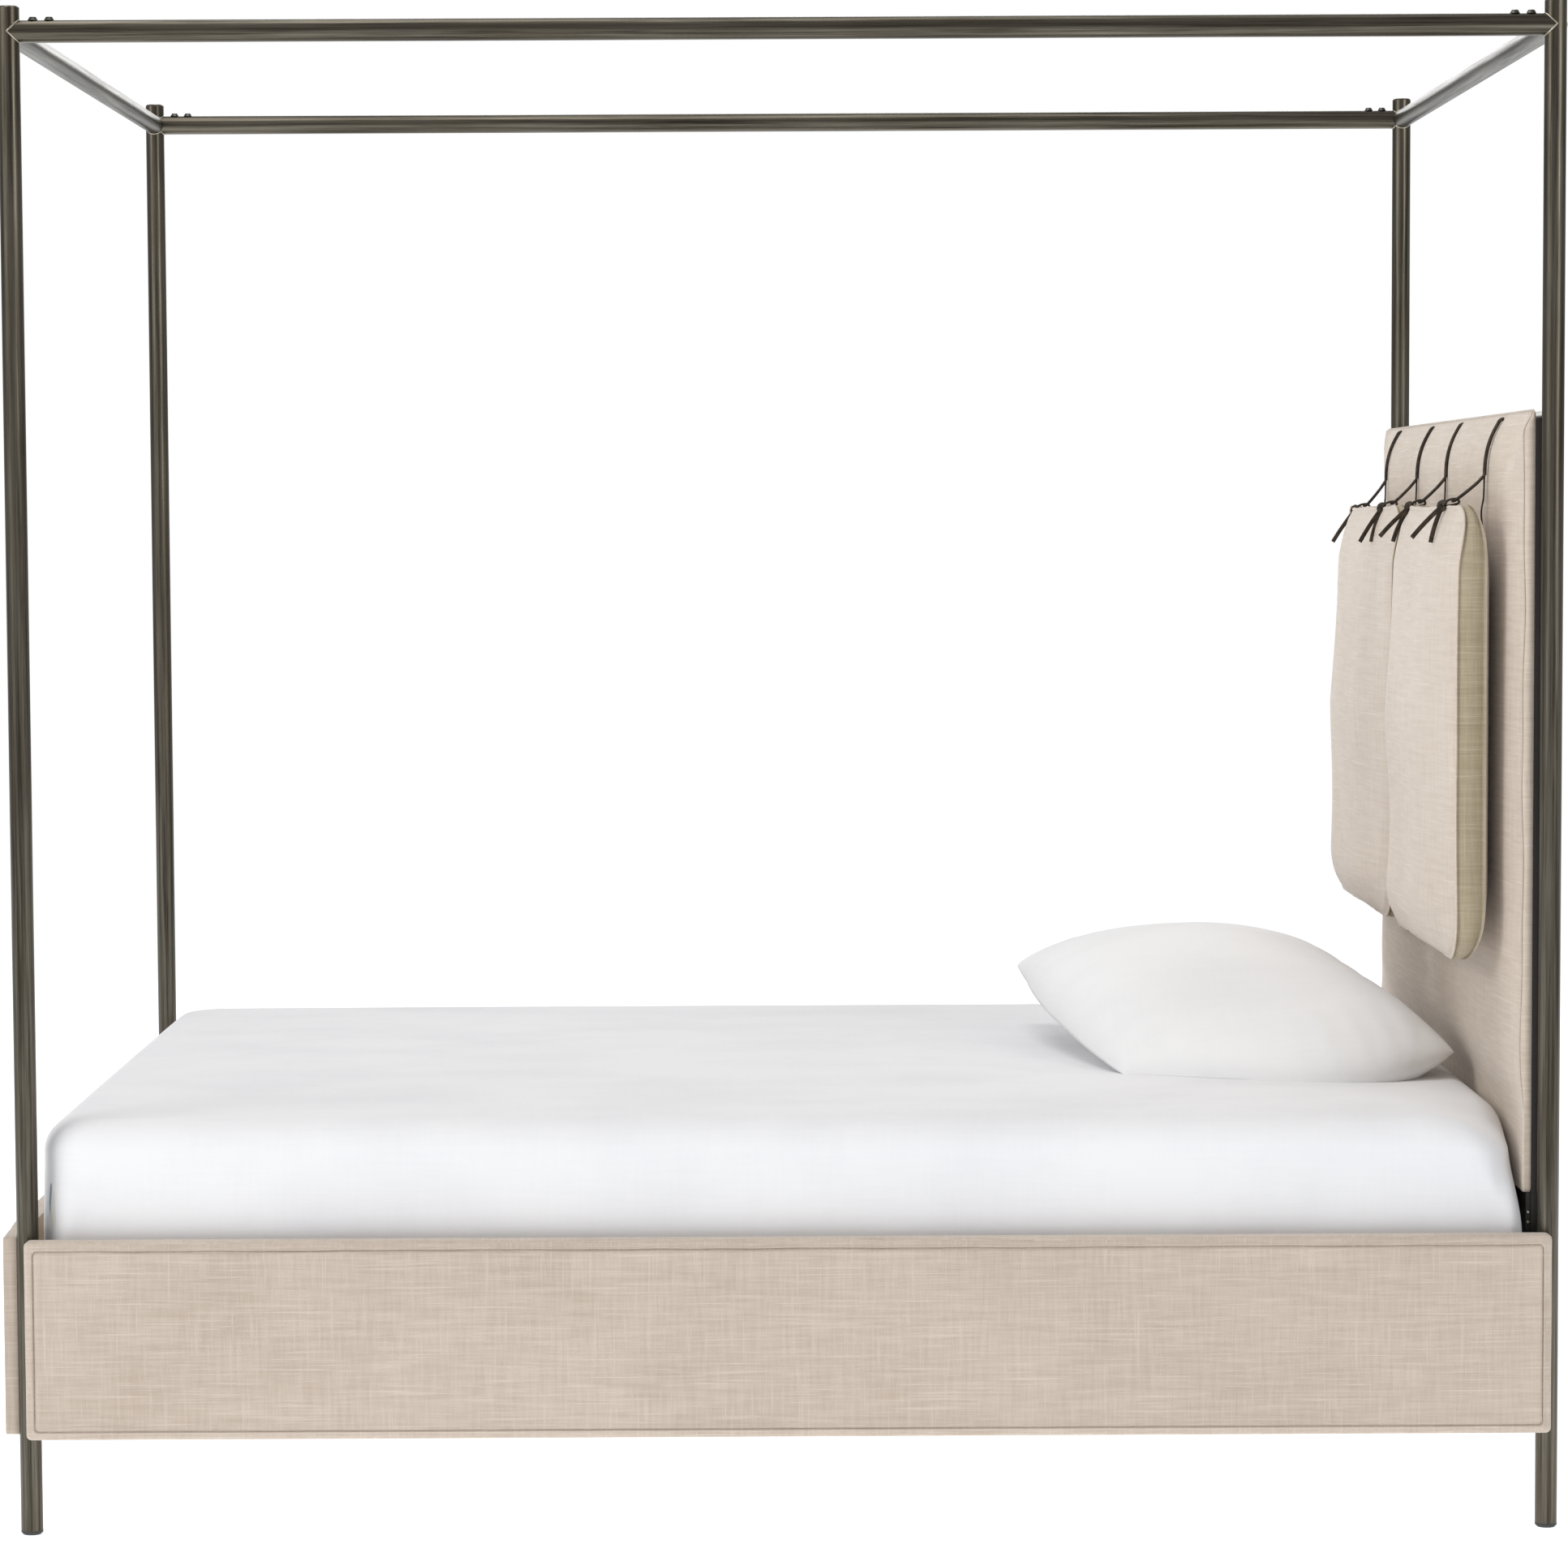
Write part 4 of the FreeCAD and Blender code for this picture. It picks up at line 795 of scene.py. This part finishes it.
# zip pulls
def makeZipPull(side):
    low, high = corners(f"zip_pull_{side}")
    middle = (low + high) / 2
    top = np.array([middle[0], middle[1], high[2]])
    barPath = top + np.array([(0, 0, 0.002), (0, 0, -0.0015), (0, 0.0004, -0.004)])
    bar = carry(barPath, flatSection(0.004, 0.0022))
    angle = np.linspace(0, 2 * np.pi, 28)
    ring = top + np.stack([0 * angle, 0.0028 * np.sin(angle), -0.0086 + 0.0048 * np.cos(angle)], 1)
    tag = carry(ring, roundSection(0.0008, 8), (1, 0, 0))
    item = toObject(f"zipPull_{side}", *joined([bar, tag]), "zip", False)
    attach(item, f"cushion_{side}")
    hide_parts(f"zip_pull_{side}")


# mattress and fitted sheet
# corner is the corners' radius on top; lowCorner (head) and footCorner hold below lowHeight
beddingSettings = {"corner": 0.06, "lowCorner": 0.02, "footCorner": 0.05, "lowHeight": 0.41, "edge": 0.042,
    "cornerDrop": 0.02, "cornerLean": 0.016, "crown": 0.005, "bulge": 0.006, "clear": 0.0015,
    "sheetGap": 0.0012, "sheetThick": 0.0007, "step": 0.012}


def beddingShape(local, ring, halfA, halfB, low, high, settings, grow):
    # the foot end swells at mid width, the top is crowned, the head corners sink, and the corners crease
    along, up, height = local.T
    s, t = along / halfA, up / halfB
    rise = unit((height - low[2]) / (high[2] - low[2]))
    belly = np.sin(np.pi * rise) ** 0.7
    footEnd = smooth(-s, 0.9, 1.0)
    along = along - footEnd * settings["bulge"] * belly * np.cos(np.pi / 2 * np.clip(t, -1, 1))
    up = up + np.sign(t) * smooth(np.abs(t), 0.9, 1.0) * 0.0025 * belly
    topPart = smooth(rise, 0.9, 1.0)
    flat = np.stack([along, up], 1)
    dome = settings["crown"] * (1 - s ** 4) * (1 - t ** 4)
    soft = ripple(flat, [((3.1, 2.2), 0.4, 0.0012), ((6.5, -4.2), 1.3, 0.0009), ((1.4, 7.7), 2.5, 0.0009)])
    height = height + topPart * (dome + soft * smooth(ring, 0.02, 0.2))
    headCorner = smooth(s, 0.86, 1.0) * smooth(np.abs(t), 0.7, 1.0)
    height = height - settings["cornerDrop"] * headCorner * smooth(rise, 0.55, 1.0)
    along = along - settings["cornerLean"] * headCorner * smooth(rise, 0.35, 1.0)
    creases = np.exp(-((np.abs(s) - 1) / 0.06) ** 2 - ((np.abs(t) - 1) / 0.08) ** 2)
    fan = ripple(np.stack([along, up, height], 1), [((95, -95, 22), 0.3, 0.0011), ((150, 140, -40), 1.2, 0.0009)])
    side = smooth(rise, 0.98, 0.6)
    along = along + np.sign(s) * creases * fan * side * grow
    up = up + np.sign(t) * creases * fan * side * grow
    return along, up, height


def makeBedding(settings):
    low, high = corners("mattress")
    middle = (low + high) / 2
    edge = settings["edge"]
    angle = np.linspace(0, np.pi / 2, 12)
    for name, node, grow in (("mattressCore", "mattress", 0.0), ("fittedSheet", "fitted_sheet", 1.0)):
        lift = settings["sheetGap"] * grow
        halfA, halfB = ((high[k] - low[k]) / 2 - settings["clear"] + lift for k in (0, 1))
        crownTop = high[2] + lift
        rimInset, rimHeight = edge * (1 - np.cos(angle)), crownTop - edge + edge * np.sin(angle)
        inner = edge + (halfB - edge) * np.linspace(0, 1, 44)[1:] ** 1.15
        wall = np.linspace(low[2] + 0.02, crownTop - edge - 0.012, 15)
        if grow:
            inset, height = [0.006, 0.0035], [low[2] + 0.002, low[2] + 0.008]
        else:
            inset = [halfB, halfB * 0.5, 0.1, 0.03, 0.012, 0.004]
            height = [low[2]] * 3 + [low[2] + 0.0005, low[2] + 0.003, low[2] + 0.009]
        inset += [0.0] * len(wall) + list(rimInset) + list(inner)
        height += list(wall) + list(rimHeight) + [crownTop] * len(inner)
        upward = smooth(np.array(height), settings["lowHeight"], crownTop - edge)
        headBend, footBend = (settings[key] + (settings["corner"] - settings[key]) * upward
            for key in ("lowCorner", "footCorner"))
        local, faces, ring = ringShell(halfA, halfB, headBend, inset, height, settings["step"], 14, footBend)
        along, up, tall = beddingShape(local, ring, halfA, halfB, low, high, settings, grow)
        points = np.stack([middle[0] + along, middle[1] + up, tall], 1)
        item = toObject(name, points, faces, "sheet" if grow else "ticking")
        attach(item, "mattress")
        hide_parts(node)
        if grow:
            shell = item.modifiers.new("clothThickness", "SOLIDIFY")
            shell.thickness, shell.offset = settings["sheetThick"], -1


# pillow
# cornerHeights: near foot, near head, far head, far foot
pillowSettings = {"half": (0.255, 0.385), "turn": 11.0, "cornerHeights": (0.004, 0.036, 0.105, 0.1),
    "loft": 0.118, "pull": 0.045, "landing": 0.012, "count": (110, 150)}


def makePillow(settings):
    # two faces over one plan leave a tilted plane by a share of the loft, 0 round the edge and 1 in the middle
    low, high = corners("pillow")
    middle = (low + high) / 2
    rest = low[2] + 0.0006
    a, b = settings["half"]
    nu, nv = settings["count"]
    u = np.sin(np.linspace(-1, 1, nu) * np.pi / 2)
    v = np.sin(np.linspace(-1, 1, nv) * np.pi / 2)
    U, W = np.meshgrid(u, v, indexing="ij")
    pull = settings["pull"]
    x = a * U * (1 - np.where(U > 0, pull, 0.3 * pull) * (1 - W ** 2))
    y = b * W * (1 - pull * 0.8 * (1 - U ** 2))
    ear = unit(np.abs(U * W) - 0.72) / 0.28
    x, y = x * (1 + 0.025 * ear), y * (1 + 0.02 * ear)
    footSide, headSide, nearSide, farSide = (unit(way) for way in (-U, U, -W, W))
    blunt = footSide ** 3 * nearSide ** 3       # the near corner at the foot side is rounded
    x, y = x + 0.035 * blunt, y + 0.03 * blunt
    x = x + 0.046 * footSide ** 2 * farSide ** 2 - 0.018 * headSide ** 3 * nearSide ** 3
    p, q = (U + 1) / 2, (W + 1) / 2
    y = y + nearSide ** 2 * (0.075 * (1 - p) ** 1.5 - 0.1 * np.sin(np.pi * p ** 1.4))     # the near side bulges
    nearFoot, nearHead, farHead, farFoot = settings["cornerHeights"]
    plane = rest + (1 - q) * (nearFoot + p ** 5 * (nearHead - nearFoot)) + q * ((1 - p) * farFoot + p * farHead)
    swell = unit((1 - U ** 2) * (1 - W ** 2))
    body = swell ** 0.36 * 0.6 + swell ** 0.6 * 0.4
    edgeU, edgeW = 1 - np.abs(U), 1 - np.abs(W)
    gather = np.sin(26 * W + 3 * U) * np.exp(-edgeU / 0.16) + np.sin(34 * U - 2 * W) * np.exp(-edgeW / 0.12)
    broad = np.sin(4.1 * U + 2.2 * W + 0.6) + np.sin(2.3 * U - 5.2 * W + 1.9)
    over = settings["loft"] * body * (1 + 0.03 * broad) + 0.0025 * gather * swell ** 0.5
    under = settings["loft"] * 0.9 * swell ** (0.5 + 0.75 * smooth(-U, 0.0, 0.9)) + 0.002 * gather * swell ** 0.5
    top = plane + over
    # the lower face flattens softly where it meets the sheet
    floorLine, soft = rest + 0.0004, settings["landing"]
    above = (plane - under - floorLine) / soft
    bottom = floorLine + soft * (np.logaddexp(0, above) - math.log(2) * np.exp(-above.clip(0)))
    bottom = np.maximum(bottom, floorLine)
    top = np.maximum(top, bottom)
    rim = (np.abs(U) > 0.9999) | (np.abs(W) > 0.9999)
    line = np.maximum(plane, floorLine + 0.001)
    top, bottom = np.where(rim, line, np.maximum(top, line)), np.where(rim, line, np.minimum(bottom, line))
    turn = math.radians(settings["turn"])
    X = middle[0] + x * math.cos(turn) - y * math.sin(turn)
    Y = middle[1] + x * math.sin(turn) + y * math.cos(turn)
    upper, lower = (np.stack([X, Y, face], -1).reshape(-1, 3) for face in (top, bottom))
    i, j = np.meshgrid(np.arange(nu - 1), np.arange(nv - 1), indexing="ij")
    quad = np.stack([i * nv + j, (i + 1) * nv + j, (i + 1) * nv + j + 1, i * nv + j + 1], -1).reshape(-1, 4)
    points = np.concatenate([upper, lower])
    faces = np.concatenate([quad, quad[:, ::-1] + nu * nv])
    item = toObject("pillow_white", points, faces, "pillow")
    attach(item, "pillow")
    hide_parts("pillow")


# weld beads where round tubes meet
def weldBead(centre, axis, side, tubeRadius, postRadius, bead):
    # where a tube leaves a round post: reach is the root of the post's radius squared less the offset squared
    angle = np.linspace(0, 2 * np.pi, 49)
    offset, rise = tubeRadius * np.cos(angle), tubeRadius * np.sin(angle)
    reach = np.sqrt(np.maximum(postRadius ** 2 - offset ** 2, 1e-9))
    path = np.zeros((len(angle), 3))
    path[:, axis] = side * reach
    path[:, 1 - axis] = offset
    path[:, 2] = rise
    leaning = np.array([side * (axis == 0), side * (axis == 1), 0.3])
    return carry(np.array(centre) + path, roundSection(bead, 6), leaning)


weldSettings = {"canopyBead": 0.0014, "barBead": 0.0012}


def makeWelds(settings):
    beads = []
    posts = {end: corners(f"post_{end}_left") for end in ("head", "foot")}
    rail = corners("canopy_side_rail_left")
    canopyZ = (rail[0][2] + rail[1][2]) / 2
    sideY = (rail[0][1] + rail[1][1]) / 2
    radius = (rail[1][2] - rail[0][2]) / 2
    for end, towards in (("head", -1), ("foot", 1)):
        x = (posts[end][0][0] + posts[end][1][0]) / 2
        for sy in (1, -1):
            for axis, way in ((0, towards), (1, -sy)):
                beads.append(weldBead((x, sy * sideY, canopyZ), axis, way, radius, radius, settings["canopyBead"]))
        bars = ["foot_crossbar"]
        if end == "head":
            bars = [f"head_crossbar_{level}" for level in ("upper", "middle", "lower")]
        for bar in bars:
            barLow, barHigh = corners(bar)
            barZ, barRadius = (barLow[2] + barHigh[2]) / 2, (barHigh[2] - barLow[2]) / 2
            for sy in (1, -1):
                beads.append(weldBead((x, sy * sideY, barZ), 1, -sy, barRadius, radius, settings["barBead"]))
    # the beads take the weld finish, whose light tone is painted highlight
    item = toObject("weldBeads", *joined(beads), "weld", False)
    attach(item, "root")


# finishes on the pieces carried over from the model
fourCorners = ("head_left", "head_right", "foot_left", "foot_right")
carried = {
    "bronzeX": ["canopy_side_rail_left", "canopy_side_rail_right"],
    "bronzeY": ["canopy_end_rail_head", "canopy_end_rail_foot", "head_crossbar_upper", "head_crossbar_middle",
    "head_crossbar_lower", "foot_crossbar"],
    "bronzeZ": [f"post_{corner}" for corner in fourCorners] + ["post_caps"],
    "screw": ["canopy_screws", "headboard_screws", "bracket_bolts", "ledger_screws"],
    "weld": ["headboard_edge_screws"],
    "bracket": [f"rail_bracket_{corner}" for corner in fourCorners] + [
    "beam_hanger_head", "beam_hanger_foot", "canopy_spigots", "foot_bracket_left", "foot_bracket_right",
    "headboard_saddles"],
    "glide": [f"glide_{corner}" for corner in fourCorners] + ["centre_glides"],
    "slat": ["slats"],
    "beam": ["centre_beam", "slat_ledger_left", "slat_ledger_right", "centre_leg_head", "centre_leg_foot"],
    # the board and battens take the near-black painted shade of the gap behind the headboard
    "gapShadeBlack": ["headboard_board", "headboard_battens"],
    "panel": ["side_rail_board_left", "side_rail_board_right", "foot_rail_board"],
    "webbing": ["slat_webbing"],
}


def dressCarried():
    for finish, names in carried.items():
        for name in names:
            mesh = nodes[name].data
            mesh.materials.clear()
            mesh.materials.append(finishes[finish])


makeCamera(cameraSettings)
makeStudio(studioSettings)
print("camera and studio ready")
for side, sign in (("left", 1), ("right", -1)):
    makeRail(f"railCover_{side}", f"side_rail_cover_{side}", f"side_rail_board_{side}", 1, sign, railSettings)
makeRail("railCover_foot", "foot_rail_cover", "foot_rail_board", 0, -1, railSettings)
print("rails covered")
makeHeadboard(headboardSettings)
print("headboard covered")
for side in ("left", "right"):
    makeCushion(side, cushionSettings)
    makeStraps(side, strapSettings)
    makeZipPull(side)
print("cushions hung")
makeBedding(beddingSettings)
makePillow(pillowSettings)
print("bedding laid")
makeWelds(weldSettings)
dressCarried()
print("metal and timber dressed")
